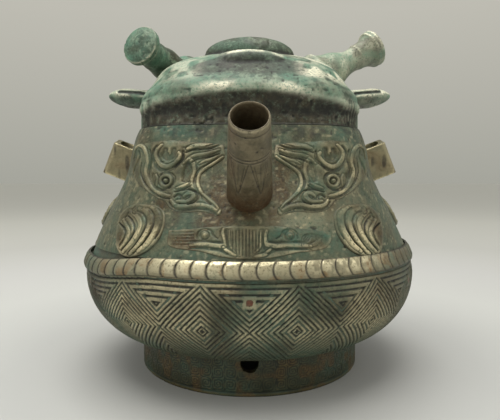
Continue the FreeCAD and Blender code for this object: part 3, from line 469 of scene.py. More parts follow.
def blurred(field, reach, closed=False):
    # Box blur, three times, over a grid whose first index may run round
    for turn in range(3):
        for axis in (0, 1):
            mode = "wrap" if closed and axis == 0 else "edge"
            pad = [(reach, reach) if k == axis else (0, 0) for k in (0, 1)]
            wide = np.cumsum(np.pad(field, pad, mode=mode), axis=axis)
            zero = np.zeros_like(np.take(wide, [0], axis=axis))
            wide = np.concatenate([zero, wide], axis=axis)
            low = np.arange(field.shape[axis])
            high = low + 2 * reach + 1
            field = (np.take(wide, high, axis=axis) - np.take(wide, low, axis=axis)) / (2 * reach + 1)
    return field


def relief_marks(height, points, reach, deep, proud, closed=False, crust=0.0, green=0.0):
    # Four marks for each point of a grid: dark in hollows (grime and painted shade), bright on raised parts (wear
    # and painted highlight), brown and green
    around = blurred(height, reach, closed)
    hollow = smooth(around - height, 0.02, deep)
    wear_and_highlight = smooth(height - around, 0.0, proud) * (0.45 + 0.55 * noise(points, 7.0, 21))
    return np.stack([hollow, wear_and_highlight, crust + 0 * height, green + 0 * height])


def by_length(low, high, count):
    # Heights between low and high at even steps along the wall's meridian
    z = np.linspace(low, high, 2001)
    run = np.concatenate([[0], np.cumsum(np.hypot(np.diff(z), np.diff(wall(0.0, z))))])
    return np.interp(np.linspace(0, run[-1], count), run, z)


def carried_vessel():
    # The CAD vessel under its ornamented skin: its outside is drawn in, the hollow inside stays
    mesh = nodes["vessel_body"].data.copy()
    p = read(mesh, "co") / MM
    drawn_in = 1 - 1.1 / np.maximum(np.hypot(p[:, 0], p[:, 1]), 1)
    p[:, :2] *= np.where(np.abs(past_wall(p)) < 0.35, drawn_in, 1)[:, None]
    mesh.vertices.foreach_set("co", (p * MM).ravel())
    mesh.update()
    place(linked("vessel_shell", mesh), "vessel", "patina_bronze", inner_bronze, "vessel_body")


def skin(name, middle, across, stretch, height, marker):
    # Half of the vessel's outside as a closed sheet with its ornament cut in
    z = by_length(*stretch)
    a, h = np.meshgrid(np.linspace(middle - math.pi / 2, middle + math.pi / 2, across), z, indexing="ij")
    base = on_wall(a, h)
    out = normals_of(base)
    depth = height(a, h, base)
    top = base + out * depth[..., None]
    quads = grid_faces(across, len(z), False)
    centre = top.reshape(-1, 3)[quads].mean(1)
    along = (centre - SPOUT_TIP) @ SPOUT_WAY
    off_axis = np.linalg.norm(centre - SPOUT_TIP - along[:, None] * SPOUT_WAY, axis=1)
    quads = quads[~((off_axis < 8.6) & (along < 0) & (centre[:, 1] < 0))]
    obj = slab(name, top, base - out * 0.95, quads, marker(a, h, base, depth), crisp=72)
    place(obj, "vessel", "patina_bronze", body_bronze)


def belly_height(az, z, p):
    # Nested lozenges, and nested wedges under fine lines between them
    u = (az / LOZENGE_TURN) % 1.0 - 0.5
    z = z + sag(az) * smooth(z, 18.0, 55.0)
    m = 2 * np.abs(u) + np.abs(z - LOZENGE_MIDDLE) / LOZENGE_REACH + 0.012 * rough(p, 9.0, 3)
    rings = m * 8.0
    outer = np.where(z > LOZENGE_MIDDLE, np.minimum(rings - 8.0, (TOP_LINE - z) / 2.45), rings - 8.0)
    step = np.where(m < 1, rings, outer)
    wide = 0.185 + 0.04 * rough(p, 14.0, 11)
    groove = 1 - smooth(np.abs(step - np.round(step)), wide * 0.6, wide * 1.4)
    groove = np.where(m < 0.06, 1.0, groove)
    groove = np.where(z > TOP_LINE + 0.3, 0, groove)
    worn = 0.75 + 0.25 * noise(p, 22.0, 5)
    pits = specks(p, 1.5, 31, 0.78, 0.95) * 0.22
    depth = -0.06 - 0.66 * groove * worn - pits - 0.05 * (1 + rough(p, 2.2, 8))
    return chaplet_skin(az, p, np.minimum(depth, -0.02))


def chaplet_skin(az, p, depth):
    # Bronze laps a little over each square chaplet, and leaves a small ragged hole where it shows
    turn = (az + math.pi / 6) % (math.pi / 3) - math.pi / 6
    right, up = turn * BELLY_RADIUS, p[..., 2] - 51.3
    square = np.maximum(np.abs(right), np.abs(up))
    lapped = (1 - smooth(square, 2.3, 3.0)) * (p[..., 1] < 60)
    hole = 1 - smooth(np.hypot(right, up) + 0.35 * rough(p, 1.2, 13), 1.05, 1.45)
    hole = np.where(p[..., 1] < 60, hole, 1 - smooth(square, 2.0, 2.35))
    return depth * (1 - lapped) + lapped * (0.13 + 0.1 * depth) - 0.85 * hole


def belly_marks(az, z, p, depth):
    marks = relief_marks(depth, p, 3, 0.2, 0.26)
    # Painted highlights in patches on the belly's upper curve, fading toward the bottom, and painted shade darkening
    # the flanks
    highlight_patches = patches(az, z, (1, 196, 322, 26, 14), (1, 305, 318, 22, 15), (1, 126, 312, 16, 12),
                     (1, 372, 322, 14, 10), (1, 205, 287, 22, 3)) + 0.2
    flank_shade = smooth(np.abs(np.sin(az)), 0.62, 0.95)
    marks[0] = unit(marks[0] + 0.13 + patches(az, z, (0.25, 160, 302, 16, 8)) + 0.38 * flank_shade)
    marks[1] *= 0.95 * smooth(z, 20, 40) * unit(highlight_patches) * specks(p, 12.0, 43, 0.15, 0.5) * (1 - 0.5 * flank_shade)
    marks[2] = 0.45 * specks(p, 15.0, 45, 0.58, 0.78) + patches(
        az, z, (1, 228, 290, 5, 5), (0.8, 365, 306, 14, 7), (0.8, 98, 290, 9, 6))
    marks[3] = unit(0.75 * specks(p, 24.0, 41, 0.42, 0.66) + 0.4 * (1 - smooth(z, 22, 36)) + patches(
        az, z, (1, 262, 322, 12, 14), (0.8, 108, 300, 7, 12), (0.7, 275, 292, 14, 5)))
    return marks


def neck_height(az, z, p):
    return np.minimum(-0.1 - 0.28 * specks(p, 1.7, 51, 0.74, 0.94) - 0.09 * (1 + rough(p, 3.0, 53)), -0.02)


def neck_marks(az, z, p, depth):
    marks = relief_marks(depth, p, 3, 0.35, 0.3)
    ragged = 0.55 + 0.6 * specks(p, 5.0, 55, 0.3, 0.7)
    rust = 0.4 * specks(p, 12.0, 57, 0.55, 0.8) + patches(
        az, z, (1.2, 245, 216, 20, 8), (1, 216, 192, 6, 16), (1, 285, 192, 6, 16), (0.8, 163, 202, 7, 5),
        (0.7, 330, 216, 12, 8), (0.6, 375, 236, 9, 10))
    verdigris = 0.5 * specks(p, 17.0, 59, 0.42, 0.66) + patches(
        az, z, (0.9, 200, 222, 18, 6), (1.1, 105, 246, 12, 11), (0.7, 300, 221, 14, 6), (1, 174, 131, 11, 4),
        (0.7, 345, 138, 8, 9), (0.8, 249, 248, 60, 9), (0.6, 380, 250, 12, 9))
    warm = patches(az, z, (1, 306, 220, 16, 7))
    rim = smooth(z, 116, 121) * specks(p, 2.6, 95, 0.45, 0.7)
    marks[0] = unit(unit(marks[0] + 0.12) + 0.5 * rim)
    marks[1] = unit(marks[1] * 0.45 + 0.25 * warm + 0.3 * specks(p, 1.5, 97, 0.7, 0.85))
    marks[2] = unit(rust * ragged * (1 - 0.8 * warm))
    marks[3] = unit(verdigris)
    return marks


carried_vessel()
for word, middle in (("front", 0.0), ("rear", math.pi)):
    skin("belly_" + word, middle, 621, (BELLY_BOTTOM, 60.9, 146), belly_height, belly_marks)
    skin("neck_" + word, middle, 441, (66.8, WALL_TOP, 118), neck_height, neck_marks)

# Scale band

def scale_band():
    rows, columns = SCALES * 20, 26
    az = np.linspace(0, 2 * math.pi, rows, endpoint=False)
    a, w = np.meshgrid(az, np.linspace(-1, 1, columns), indexing="ij")
    z = 63.85 + 3.5 * w
    seat = 86.85 - 1.42 * w + wall(a, z - sag(a)) - wall(a, z)
    z = z - sag(a)
    step = a * SCALES / (2 * math.pi) + 0.4 * np.sqrt(1 - (0.94 * w) ** 2) + 0.2
    part = step - np.floor(step)
    off = np.minimum(part, 1 - part)
    rise = 0.42 * smooth(part, 0.0, 0.22) * (1 - 0.3 * part)
    p = round_axis(a, seat, z)
    height = 0.98 + (0.3 + rise) * (1 - np.abs(w) ** 6) - 0.34 * bell(off, 0.055)
    height = height + 0.04 * rough(p, 2.5, 61) - 0.14 * specks(p, 1.3, 63, 0.76, 0.95)
    height = height * (0.98 + 0.02 * np.sin(np.floor(step) % SCALES * 2.4))
    height = np.minimum(height, 0.9 + 1.0 * (1 - w ** 2) + 0.02)
    top = p + round_axis(a, 1.0, 0 * a) * height[..., None]
    low = p.copy()
    low[..., 2] = np.clip(low[..., 2], 60.36 - sag(a), 67.34 - sag(a))
    turned = wrapped(a)
    # Painted highlight where the band faces the front; the green gathers where that highlight is weak
    front_highlight = bell(turned + 0.13, 0.5) + 0.75 * bell(turned - 0.5, 0.22)
    grain = 0.35 + 0.65 * specks(p, 1.6, 67, 0.3, 0.6)
    # Painted shade: darker toward the band's sides, away from the front
    dull = smooth(np.abs(turned + 0.05), 0.72, 1.0)
    marks = np.zeros((4,) + a.shape)
    # Painted shadow along the band's upper and lower edges, and dark in the lines between scales
    marks[0] = unit(unit(1.2 * bell(off, 0.07) + 0.8 * smooth(np.abs(w), 0.9, 1.0)) + 0.4 * dull)
    marks[1] = unit((0.12 + 1.0 * front_highlight) * (0.55 + 0.45 * w) * np.where(turned > 0.3, grain, 1))
    marks[2] = 0.8 * specks(p, 5.0, 69, 0.6, 0.75) * (1 - 0.6 * dull)
    marks[3] = unit(0.3 * specks(p, 12.0, 65, 0.5, 0.75) + 0.9 * (1 - unit(front_highlight * 1.6)))
    obj = slab("scale_band_dressed", top, low, grid_faces(rows, columns, True), marks, crisp=75)
    place(obj, "vessel", "worn_bronze", worn_bronze, "scale_band")


scale_band()

# Foot ring

def foot_ring():
    rows, columns = 760, 52
    az = np.linspace(0, 2 * math.pi, rows, endpoint=False)
    a, h = np.meshgrid(az, np.linspace(0, 21.5, columns), indexing="ij")
    for k in range(4):
        off = wrapped(a - k * math.pi / 2) * FOOT_RADIUS
        d = np.hypot(off, h - FOOT_HOLE_Z)
        near = (d > 0.01) & (np.abs(d - FOOT_HOLE_RADIUS) < 0.27)
        scale = np.where(near, FOOT_HOLE_RADIUS / np.maximum(d, 0.01), 1)
        h = np.where(near, FOOT_HOLE_Z + (h - FOOT_HOLE_Z) * scale, h)
        a = np.where(near, a + off * (scale - 1) / FOOT_RADIUS, a)
    p = round_axis(a, FOOT_RADIUS, h)
    cell = 2 * math.pi / 64
    x = ((a / cell) % 1.0 - 0.5) * cell * FOOT_RADIUS
    y = ((h - 2.6) / 5.6 % 1.0 - 0.5) * 5.6
    turn = np.arctan2(y, x) / (2 * math.pi) * np.where(np.floor(a / cell) % 2 < 1, 1, -1)
    coil = (np.maximum(np.abs(x), np.abs(y)) * 0.6 + np.hypot(x, y) * 0.4) / 1.15 - turn
    groove = 1 - smooth(np.abs(coil - np.round(coil)), 0.1, 0.3)
    groove *= smooth(h, 2.0, 2.8) * (0.45 + 0.55 * noise(p, 16.0, 71))
    height = -0.05 - 0.4 * groove - 0.3 * bell(h - 2.0, 0.4)
    height = height - 0.06 * (1 + rough(p, 2.4, 73)) - 0.2 * specks(p, 1.6, 75, 0.76, 0.95)
    height = height - 0.4 * (1 - smooth(h, 0.0, 0.5)) ** 2
    i_next = np.roll(np.arange(rows), -1)
    mid_a = np.arctan2(np.sin(a) + np.sin(a[i_next]), np.cos(a) + np.cos(a[i_next]))[:, :-1]
    mid_h = (h[:, :-1] + h[:, 1:]) / 2
    keep = np.ones(mid_h.shape, bool)
    for k in range(4):
        off = wrapped(mid_a - k * math.pi / 2) * FOOT_RADIUS
        keep &= np.hypot(off, mid_h - FOOT_HOLE_Z) > FOOT_HOLE_RADIUS
    marks = relief_marks(height, p, 3, 0.28, 0.22, True)
    marks[1] *= 0.4
    marks[2] = 0.9 * specks(p, 5.0, 77, 0.58, 0.78)
    marks[3] = 0.6 * specks(p, 14.0, 79, 0.45, 0.7)
    obj = slab("foot_ring_dressed", round_axis(a, FOOT_RADIUS + height, h), round_axis(a, 57.0, h),
               grid_faces(rows, columns, True, keep), marks, crisp=72)
    place(obj, "vessel", "green_patina", foot_bronze, "foot_ring")


foot_ring()

# Cast reliefs

class Chart:
    # Flat places in millimetres on a part of the wall: across from an angle, and up along the meridian
    def __init__(self, az, z):
        self.az = az
        self.reach = float(wall(az, z))
        self.z = np.linspace(62.5, 124.8, 1200)
        run = np.hypot(np.diff(self.z), np.diff(wall(az, self.z)))
        self.run = np.concatenate([[0], np.cumsum(run)])
        self.zero = float(np.interp(z, self.z, self.run))

    def flat(self, places):
        # Places in the picture
        az, z = np.array([seen_on_wall(px, py) for px, py in places]).T
        return np.stack([(az - self.az) * self.reach, np.interp(z, self.z, self.run) - self.zero], -1)

    def back(self, s, t):
        return self.az + s / self.reach, np.interp(t + self.zero, self.run, self.z)


def shaped(s, t, outline, strokes, base, edge):
    # Height over the wall of a relief: a rounded plateau with raised strokes and cut lines
    points = np.stack([s, t], -1)
    ring = curve_through([*outline, outline[0]], 4)
    away, _ = line_distance(points, ring)
    depth_in = np.where(inside(points, ring), away, -away)
    plateau = np.sqrt(unit(1 - (1 - unit(depth_in / edge)) ** 2))
    raised = np.zeros_like(plateau)
    cut = np.zeros_like(plateau)
    for kind, amount, width, line in strokes:
        d, along = line_distance(points, curve_through(line, 5))
        taper = 0.45 + 0.55 * np.sin(np.pi * np.clip(along, 0.04, 0.96)) ** 0.5
        if kind == "ridge":
            bump = np.sqrt(unit(1.7 * (1 - (d / (0.82 * width * taper)) ** 2)))
            raised = np.maximum(raised, 0.4 * amount * bump)
            cut = np.maximum(cut, 0.35 * bell(d - 1.05 * width * taper, 0.3))
        elif kind == "cut":
            cut = np.maximum(cut, amount * bell(d, width * taper))
        elif kind == "ball":
            raised = np.maximum(raised, amount * np.sqrt(unit(1 - (d / width) ** 2)))
    return base * plateau + raised * plateau - cut * (0.3 + 0.7 * plateau), depth_in


def cast_relief(node, faces, chart, across, upward, outline, strokes, base, edge, shaping, crust, green, most,
                worn=None):
    # A relief over flat places of the chart. faces mirrors it to the right or to the back.
    s, t = np.meshgrid(across, upward, indexing="ij")
    height, depth_in = shaped(s, t, outline, strokes, base, edge)
    height = shaping(s, t, height, depth_in)
    az, z = chart.back(s, t)
    p = on_wall(az, z)
    sign = np.array([*faces, 1.0])
    p, out = p * sign, normals_of(p) * sign
    height = height + 0.1 * rough(p, 2.6, 81) - 0.25 * specks(p, 1.3, 83, 0.76, 0.95)
    height = np.minimum(height, most)
    if worn:
        height = np.where(depth_in < 0, -0.35 - 0.5 * unit(-depth_in), np.maximum(height, -0.2))
    fall = smooth(depth_in, -0.25, 0.35)
    height = height * fall - 0.45 * (1 - fall)
    marks = relief_marks(height, p, 4, 0.75, 0.5, crust=crust, green=green)
    if worn:
        marks[1] *= worn * (0.25 + 0.75 * specks(p, 7.0, 85, 0.35, 0.7))
        marks[2] *= specks(p, 6.0, 87, 0.3, 0.7)
        marks[3] *= specks(p, 9.0, 89, 0.3, 0.7)
        # Painted golden highlights on raised parts at these places, which stand for rubbed metal too
        golden_highlight = patches(az, z, (1, 146, 244, 8, 9), (1, 212, 244, 15, 3.5), (1, 228, 243, 5, 11))
        rust = patches(az, z, (1, 121, 240, 3, 6), (1, 181, 243, 8, 5), (0.7, 215, 146, 9, 4))
        # Painted shade along the relief's outline, where it meets the ground
        marks[0] = unit(marks[0] + 0.4 * (1 - smooth(depth_in, 0.0, 1.0)))
        marks[1] = unit(marks[1] + 0.75 * golden_highlight * smooth(height, 0.45, 1.0))
        marks[2] = unit(marks[2] + 0.9 * rust)
    else:
        marks[1] *= 0.5
    wanted = depth_in > -0.45
    keep = wanted[:-1, :-1] & wanted[1:, 1:] & wanted[1:, :-1] & wanted[:-1, 1:]
    quads = grid_faces(*s.shape, False, keep, faces[0] * faces[1] < 0)
    obj = slab(node + "_dressed", p + out * height[..., None], p - out * 0.9, quads, marks)
    place(obj, "vessel", "patina_bronze", body_bronze, node)


def relief(node, faces, centre, outline, strokes, base, edge, shaping, crust, green, worn, most=2.65):
    # centre, outline and strokes are places in the picture, seen on the left half of the front
    chart = Chart(*seen_on_wall(*centre))
    outline = chart.flat(outline)
    strokes = [(kind, amount, width, chart.flat(line)) for kind, amount, width, line in strokes]
    low, high = outline.min(0) - 1.5, outline.max(0) + 1.5
    cast_relief(node, faces, chart, np.arange(low[0], high[0], 0.27), np.arange(low[1], high[1], 0.27), outline,
                strokes, base, edge, shaping, crust, green, most, worn)


def faded_ends(s, t, height, depth_in):
    # The panel's two ends sink into the ground
    return height * (1 - 0.85 * smooth(np.abs(s), 19, 33))


def faded_sky(s, t, height, depth_in):
    # The dragon's upper side melts into the ground
    return height - 0.6 * smooth(t, 13.0, 18.0) - 0.25 * specks(np.stack([s, t, 0 * s], -1), 9.0, 93, 0.5, 0.7)


def faded_top(s, t, height, depth_in):
    # The paw's upper side melts into the ground, and its talons stand clear
    return height * (0.3 + 0.7 * smooth(-t - 0.25 * s, -9, 3))


def ring_of(centre, radius, turns, start):
    angles = [start + turns * 2 * math.pi * k / 16 for k in range(17)]
    return [(centre[0] + radius * math.cos(angle), centre[1] + radius * math.sin(angle)) for angle in angles]


DRAGON_OUTLINE = [
    (224, 144), (225, 157), (217, 164), (209, 169), (203.5, 173.5), (201.5, 178), (201, 183), (202.5, 188),
    (206.5, 193.5), (212, 198.5), (218, 203.5), (222, 210), (219, 215.5), (208, 212.5), (199, 211.5), (187, 212.5),
    (176, 211.5), (168.5, 207), (164, 201), (157, 198), (149, 193.5), (142, 187), (136, 180), (131.5, 171),
    (131, 160), (133.5, 149), (139.5, 142.5), (147, 141), (157, 140.5), (171, 139.5), (186, 141), (203, 141.5)
]
DRAGON_STROKES = [
    ("ridge", 1.1, 1.3, [(162, 145.3), (157.5, 151), (157.2, 157.4), (160.7, 164.4), (166.4, 167), (172.8, 165.1),
     (177.9, 160.6), (180.5, 156.1), (179.2, 153)]),
    ("cut", 1.2, 0.75, [(157, 146), (153.3, 153), (154.5, 161), (158.5, 168), (164.5, 171), (171.5, 169.5),
     (178, 164.5), (183, 159), (183.5, 152)]),
    ("cut", 1.35, 1.5, [(166, 150), (165, 156), (168, 158), (173, 156), (174, 150)]),
    ("cut", 1.1, 0.8, [(168, 153.5), (168.6, 154.5)]),
    ("cut", 1.1, 0.6, [(153.7, 174), (152.4, 181), (154.3, 186.1), (158.8, 189.3), (165.2, 190), (170.3, 187.4),
     (173.8, 183), (174.3, 177.5), (171, 173.4), (166, 172.6), (161.2, 174.8)]),
    ("ridge", 0.95, 1.0, ring_of((166.3, 181), 5.3, 1.0, 0.4)),
    ("cut", 0.95, 0.42, ring_of((166.3, 181), 3.3, 1.0, 0.4)),
    ("ball", 1.1, 0.8, [(166.3, 181), (166.9, 181.4)]),
    ("ridge", 0.8, 0.8, [(156.4, 174.6), (157.6, 179.7), (156.9, 186.1)]),
    ("ridge", 1.0, 1.2, [(134.5, 157.5), (136.2, 149.5), (139.7, 145.5), (143.5, 147.2), (146.5, 152),
     (148.6, 160.6), (146.7, 170.8), (147.3, 177.2), (150.2, 185), (155.3, 190.8), (162, 194.2), (169.6, 196.4)]),
    ("cut", 1.2, 0.8, [(139.8, 151.5), (140.5, 157), (137.8, 164), (135.3, 169), (133.8, 176)]),
    ("cut", 1.1, 0.6, [(150.5, 150), (152.4, 158), (150.7, 168), (150.8, 176), (153.2, 183)]),
    ("cut", 0.9, 0.5, [(142.5, 163), (141.5, 172), (143.5, 180.5), (148.5, 188), (155, 193.8), (163, 197.8),
     (170, 199)]),
    ("ridge", 1.0, 1.1, [(171.5, 200.5), (174, 204.5), (179, 206.6), (187, 206.6), (199, 205.2), (208.5, 206.6),
     (216.8, 210.8)]),
    ("cut", 1.1, 0.55, [(169.6, 202.5), (171.9, 207), (177, 209.7), (186.2, 210.4), (199, 209.3), (208.5, 210.6),
     (216, 214)]),
    ("ridge", 0.9, 1.3, [(177.5, 201.6), (186.2, 202), (191.2, 199.8), (194, 196.5), (192.5, 193.6),
     (187.6, 194.4), (184.3, 197)]),
    ("cut", 1.1, 0.55, [(174.5, 197.5), (178.2, 195), (181.5, 196.5), (181.2, 199)]),
    ("cut", 1.0, 0.5, [(182, 190.5), (189.5, 189.8), (196, 192), (198.5, 197), (195, 202.5), (188, 205)]),
    ("ridge", 0.7, 0.9, [(176.6, 188.7), (184.3, 186.1), (189.6, 183)]),
    ("cut", 0.9, 0.5, [(175.5, 192.2), (184.6, 189.4), (191.5, 186)]),
    ("cut", 1.35, 1.5, [(188.2, 164.5), (187.5, 170), (186.2, 175.5), (184.8, 180.5)]),
    ("ridge", 1.0, 1.1, [(186.4, 161.2), (189.8, 159.7), (193.2, 162.8), (194.3, 168.5), (194.2, 174),
     (192.2, 179.5), (191.8, 185), (193.8, 190)]),
    ("ridge", 0.95, 1.0, [(183.8, 164), (189.4, 158.7), (196.6, 155.6), (204.5, 154.6), (213, 152.4),
     (219.5, 150.2)]),
    ("cut", 0.95, 0.5, [(192, 163), (197.5, 159.6), (204.5, 158.4), (212.5, 156.6), (219.5, 154)]),
    ("ridge", 0.75, 0.8, [(199.6, 164.2), (204.6, 161.4), (211.7, 159.4), (218, 156.5)]),
    ("cut", 0.9, 0.5, [(186, 152.8), (194, 149.9), (202, 149.6), (211, 148.6), (219, 145.5)]),
    ("ridge", 0.85, 1.5, [(188, 148.8), (197, 145.8), (208, 144.6), (219, 142.8)]),
    ("cut", 0.7, 0.4, [(206, 146.8), (213, 144.6), (219.5, 141.8)]),
    ("ridge", 0.95, 1.0, [(223, 157), (214, 163.4), (206.3, 168.2), (200.8, 172.6), (198.6, 177.8), (198, 183),
     (199.5, 188.8), (203.8, 194.5), (209.5, 199.6), (215.3, 204.3), (218.6, 209)]),
    ("cut", 1.0, 0.5, [(217, 159), (208, 164.6), (201.4, 168.6), (196.9, 173.6), (195, 180)]),
    ("cut", 0.9, 0.45, [(199, 193.5), (204.6, 199), (211, 204.8)]),
]
PAW_OUTLINE = [
    (139.5, 203.2), (147, 204.2), (155, 205), (161.5, 208.5), (165, 214.5), (165, 223), (162.8, 232),
    (158.5, 240.5), (153, 247), (146, 252.5), (137, 256.5), (129, 257.8), (121.5, 255), (117.5, 249.5),
    (116.3, 242), (116.6, 233), (117.8, 224), (120.5, 215.5), (125.5, 208.8), (132, 204.6)
]
PAW_STROKES = [
    ("ridge", 0.9, 1.5, [(139.5, 208.5), (146, 211.4), (149.8, 217.5), (150, 225), (147.2, 233.5), (142.5, 241.5),
     (136.5, 249), (131, 254)]),
    ("ridge", 0.95, 1.6, [(151.5, 207.8), (157, 212.5), (158, 220), (156.6, 228.5), (152.5, 237.5), (146.8, 245.3),
     (139.5, 251.2)]),
    ("ridge", 0.85, 1.4, [(130.5, 211), (137.5, 217), (141, 224), (139.6, 231.5), (135.3, 239.5), (129.5, 247),
     (124.5, 252)]),
    ("ridge", 0.7, 1.1, [(124.6, 220), (129.5, 229), (130.3, 235), (127, 242), (122, 248.5)]),
    ("cut", 1.3, 0.6, [(137.6, 211.4), (141.9, 212.9), (145.2, 216.8), (146.4, 222), (145.8, 227.4),
     (143.6, 232.8), (139.6, 239.6), (134.7, 246.9), (128.4, 254)]),
    ("cut", 1.3, 0.55, [(147.6, 207.7), (151.9, 211.1), (153.8, 216.8), (153.8, 222.5), (152.4, 229.3),
     (149.6, 235.6), (144.8, 242.6), (138.6, 249.3), (134, 254)]),
    ("cut", 1.2, 0.55, [(128.9, 216.5), (132.3, 219.8), (135.2, 226), (135.2, 232), (131.9, 238.8), (127.5, 245),
     (122.2, 251)]),
    ("cut", 0.9, 0.5, [(157.8, 208.2), (161.4, 213.5), (161.8, 221.5), (160, 230.7), (156, 239)]),
    ("cut", 1.2, 0.5, [(120.8, 223.5), (124.7, 227.6), (126.7, 233), (124.9, 239.5), (121, 245.5)]),
    ("cut", 1.0, 0.5, [(135.7, 206.7), (132.4, 210.1), (133, 213.4), (136, 214.5)]),
    ("cut", 1.0, 0.5, [(129.9, 212), (127, 216.6), (125.6, 221)]),
]
PANEL_OUTLINE = [
    (168.5, 230), (178, 229.3), (192, 228.6), (206, 227), (219, 226), (234, 225.4), (249, 225.2), (264, 225.4),
    (279, 226), (293, 227.3), (307, 229), (320, 230.6), (330.5, 232.5), (331.5, 241), (325, 248.5), (311, 251.5),
    (297, 253), (284, 256), (268, 259), (249, 259.8), (231, 258.8), (215, 255.8), (202, 252.2), (188, 250.2),
    (174, 248.2), (167, 243.5)
]
PANEL_STROKES = [
    ("ridge", 0.85, 1.2, [(190.5, 245), (198, 244.6), (205.1, 244.5), (214.3, 245.6), (221.2, 246.2),
     (225.8, 244.6), (225, 239.3), (222.9, 233.6), (223.5, 229.5)]),
    ("ridge", 0.8, 1.0, [(223.5, 247.5), (228.1, 251.6), (235.4, 255.4)]),
    ("ridge", 0.6, 0.6, [(229.6, 230.5), (229.4, 236), (229.2, 241.6), (230.9, 247.3), (235.4, 252.6)]),
    ("cut", 0.9, 0.5, [(226.6, 229.5), (226.6, 236), (227.6, 243), (228, 248.4)]),
    ("ridge", 0.85, 1.2, [(310.7, 246.2), (303, 245.6), (287.8, 245.6), (276.3, 246.2), (268.6, 245.2),
     (266, 243.5), (264.8, 237), (266.4, 231)]),
    ("ridge", 0.75, 1.0, [(310, 246.2), (316, 243.6), (320.6, 239.6)]),
    ("ridge", 0.8, 1.0, [(270.6, 249), (264.8, 254.6), (255, 256.8)]),
    ("ridge", 0.6, 0.6, [(260.8, 230.5), (260.6, 237), (260.9, 242), (259.5, 248), (255, 252.6)]),
    ("cut", 0.9, 0.5, [(263.2, 229.5), (262.6, 236), (262.6, 243), (264.4, 249)]),
    ("cut", 0.9, 0.5, [(189, 248.6), (204, 248.2), (214, 249.3), (221, 250.6), (227, 254)]),
    ("cut", 0.9, 0.5, [(311, 249.8), (298, 249), (286, 249), (275, 250.4), (268, 254)]),
    ("cut", 0.8, 0.4, [(190, 241.6), (204, 241), (214, 242.2), (220.5, 242.4)]),
    ("cut", 0.8, 0.4, [(305, 242), (288, 242), (276, 242.6), (269, 241.6)]),
    ("cut", 0.9, 0.4, ring_of((204.6, 235.2), 4.4, 1.0, 0.3)),
    ("ball", 0.8, 0.7, [(204.6, 235.2), (205.2, 235.3)]),
    ("cut", 0.8, 0.4, [(197, 238.5), (198.5, 232.3), (204, 229.4), (210.5, 230.6), (213.5, 235.5), (218, 238.6)]),
    ("cut", 0.9, 0.4, ring_of((289.6, 235.6), 4.4, 1.0, 0.3)),
    ("ball", 0.8, 0.7, [(289.6, 235.6), (290.2, 235.7)]),
    ("cut", 0.8, 0.4, [(297.5, 238.5), (296, 232.5), (290.5, 229.6), (284, 230.8), (281, 235.8), (276, 238.8)]),
]
PANEL_STROKES += [("cut", 0.6, 0.28, [(169.5 + 0.3 * k, 232.6 + 3.05 * k), (193.6, 232.2 + 3.05 * k)])
                  for k in range(5)]
PANEL_STROKES += [("cut", 0.6, 0.28, [(301 + 2.2 * k, 246.5 - 1.6 * k), (303 + 2 * k, 236.6 + k),
                                      (312, 234.2 + 0.8 * k), (325 - 2.6 * k, 236.6 + k)]) for k in range(4)]
PANEL_STROKES += [("cut", 0.7, 0.26, [(x, 229.5 + 0.16 * abs(x - 246)), (x, 256.8 - 0.35 * abs(x - 246))])
                  for x in (232.9, 236.2, 239.5, 242.8, 246.1, 249.4, 252.7, 256.0, 259.0)]
for node, faces in (("left_spout_dragon", (1, 1)), ("right_spout_dragon", (-1, 1)), ("rear_left_dragon", (1, -1)),
                    ("rear_right_dragon", (-1, -1))):
    relief(node, faces, (175, 176), DRAGON_OUTLINE, DRAGON_STROKES, 0.6, 2.6, faded_sky, 0.5, 0.6, 0.7)
for node, faces in (("left_front_paw", (1, 1)), ("right_front_paw", (-1, 1)), ("left_hind_paw", (1, -1)),
                    ("right_hind_paw", (-1, -1))):
    relief(node, faces, (140, 230), PAW_OUTLINE, PAW_STROKES, 1.0, 3.2, faded_top, 0.6, 0.5, 0.9)
for node, faces in (("front_bird_panel", (1, 1)), ("rear_bird_panel", (1, -1))):
    relief(node, faces, (249, 243), PANEL_OUTLINE, PANEL_STROKES, 0.3, 2.4, faded_ends, 0.5, 1.3, 1.1, 2.2)


def scaled(s, t, height, depth_in):
    # Rows of small cut scales over a limb
    row = np.floor((t + 6) / 2.1)
    fx = ((s + 0.5 * 2.3 * (row % 2)) / 2.3) % 1 - 0.5
    fy = ((t + 6) / 2.1) % 1
    arc = np.hypot(fx * 2.3, (fy - 0.1) * 2.1)
    scales = 0.5 * bell(arc - 1.25, 0.28) * smooth(t, -4.5, -3) * (1 - smooth(t, 5.2, 6.6))
    return height - scales * smooth(depth_in, 0.8, 2.0)


def limb(node, side):
    # A scaled thigh between two paws, at the vessel's side
    angles = np.linspace(0, 2 * math.pi, 28, endpoint=False)
    outline = np.stack([13.2 * np.cos(angles) + 1.5 * np.cos(2 * angles), 9.8 * np.sin(angles)], -1)
    strokes = [("cut", 1.1, 0.6, [(-11, -4.2), (-4, -6.2), (4, -5.8), (10, -3.2), (12, 1)]),
               ("ridge", 0.7, 1.2, [(-10, -6.4), (-3, -8.2), (4, -8), (9, -6)]),
               ("cut", 1.0, 0.6, [(-11, 2), (-8, 6), (-1, 8), (6, 7), (10, 4)])]
    cast_relief(node, (side, 1), Chart(math.radians(-84), 83.0), np.arange(-16.5, 16.5, 0.3),
                np.arange(-11.5, 11.5, 0.3), outline, strokes, 1.7, 2.2, scaled, 0.35, 0.5, 2.6)


limb("left_limb", 1)
limb("right_limb", -1)

# Spout

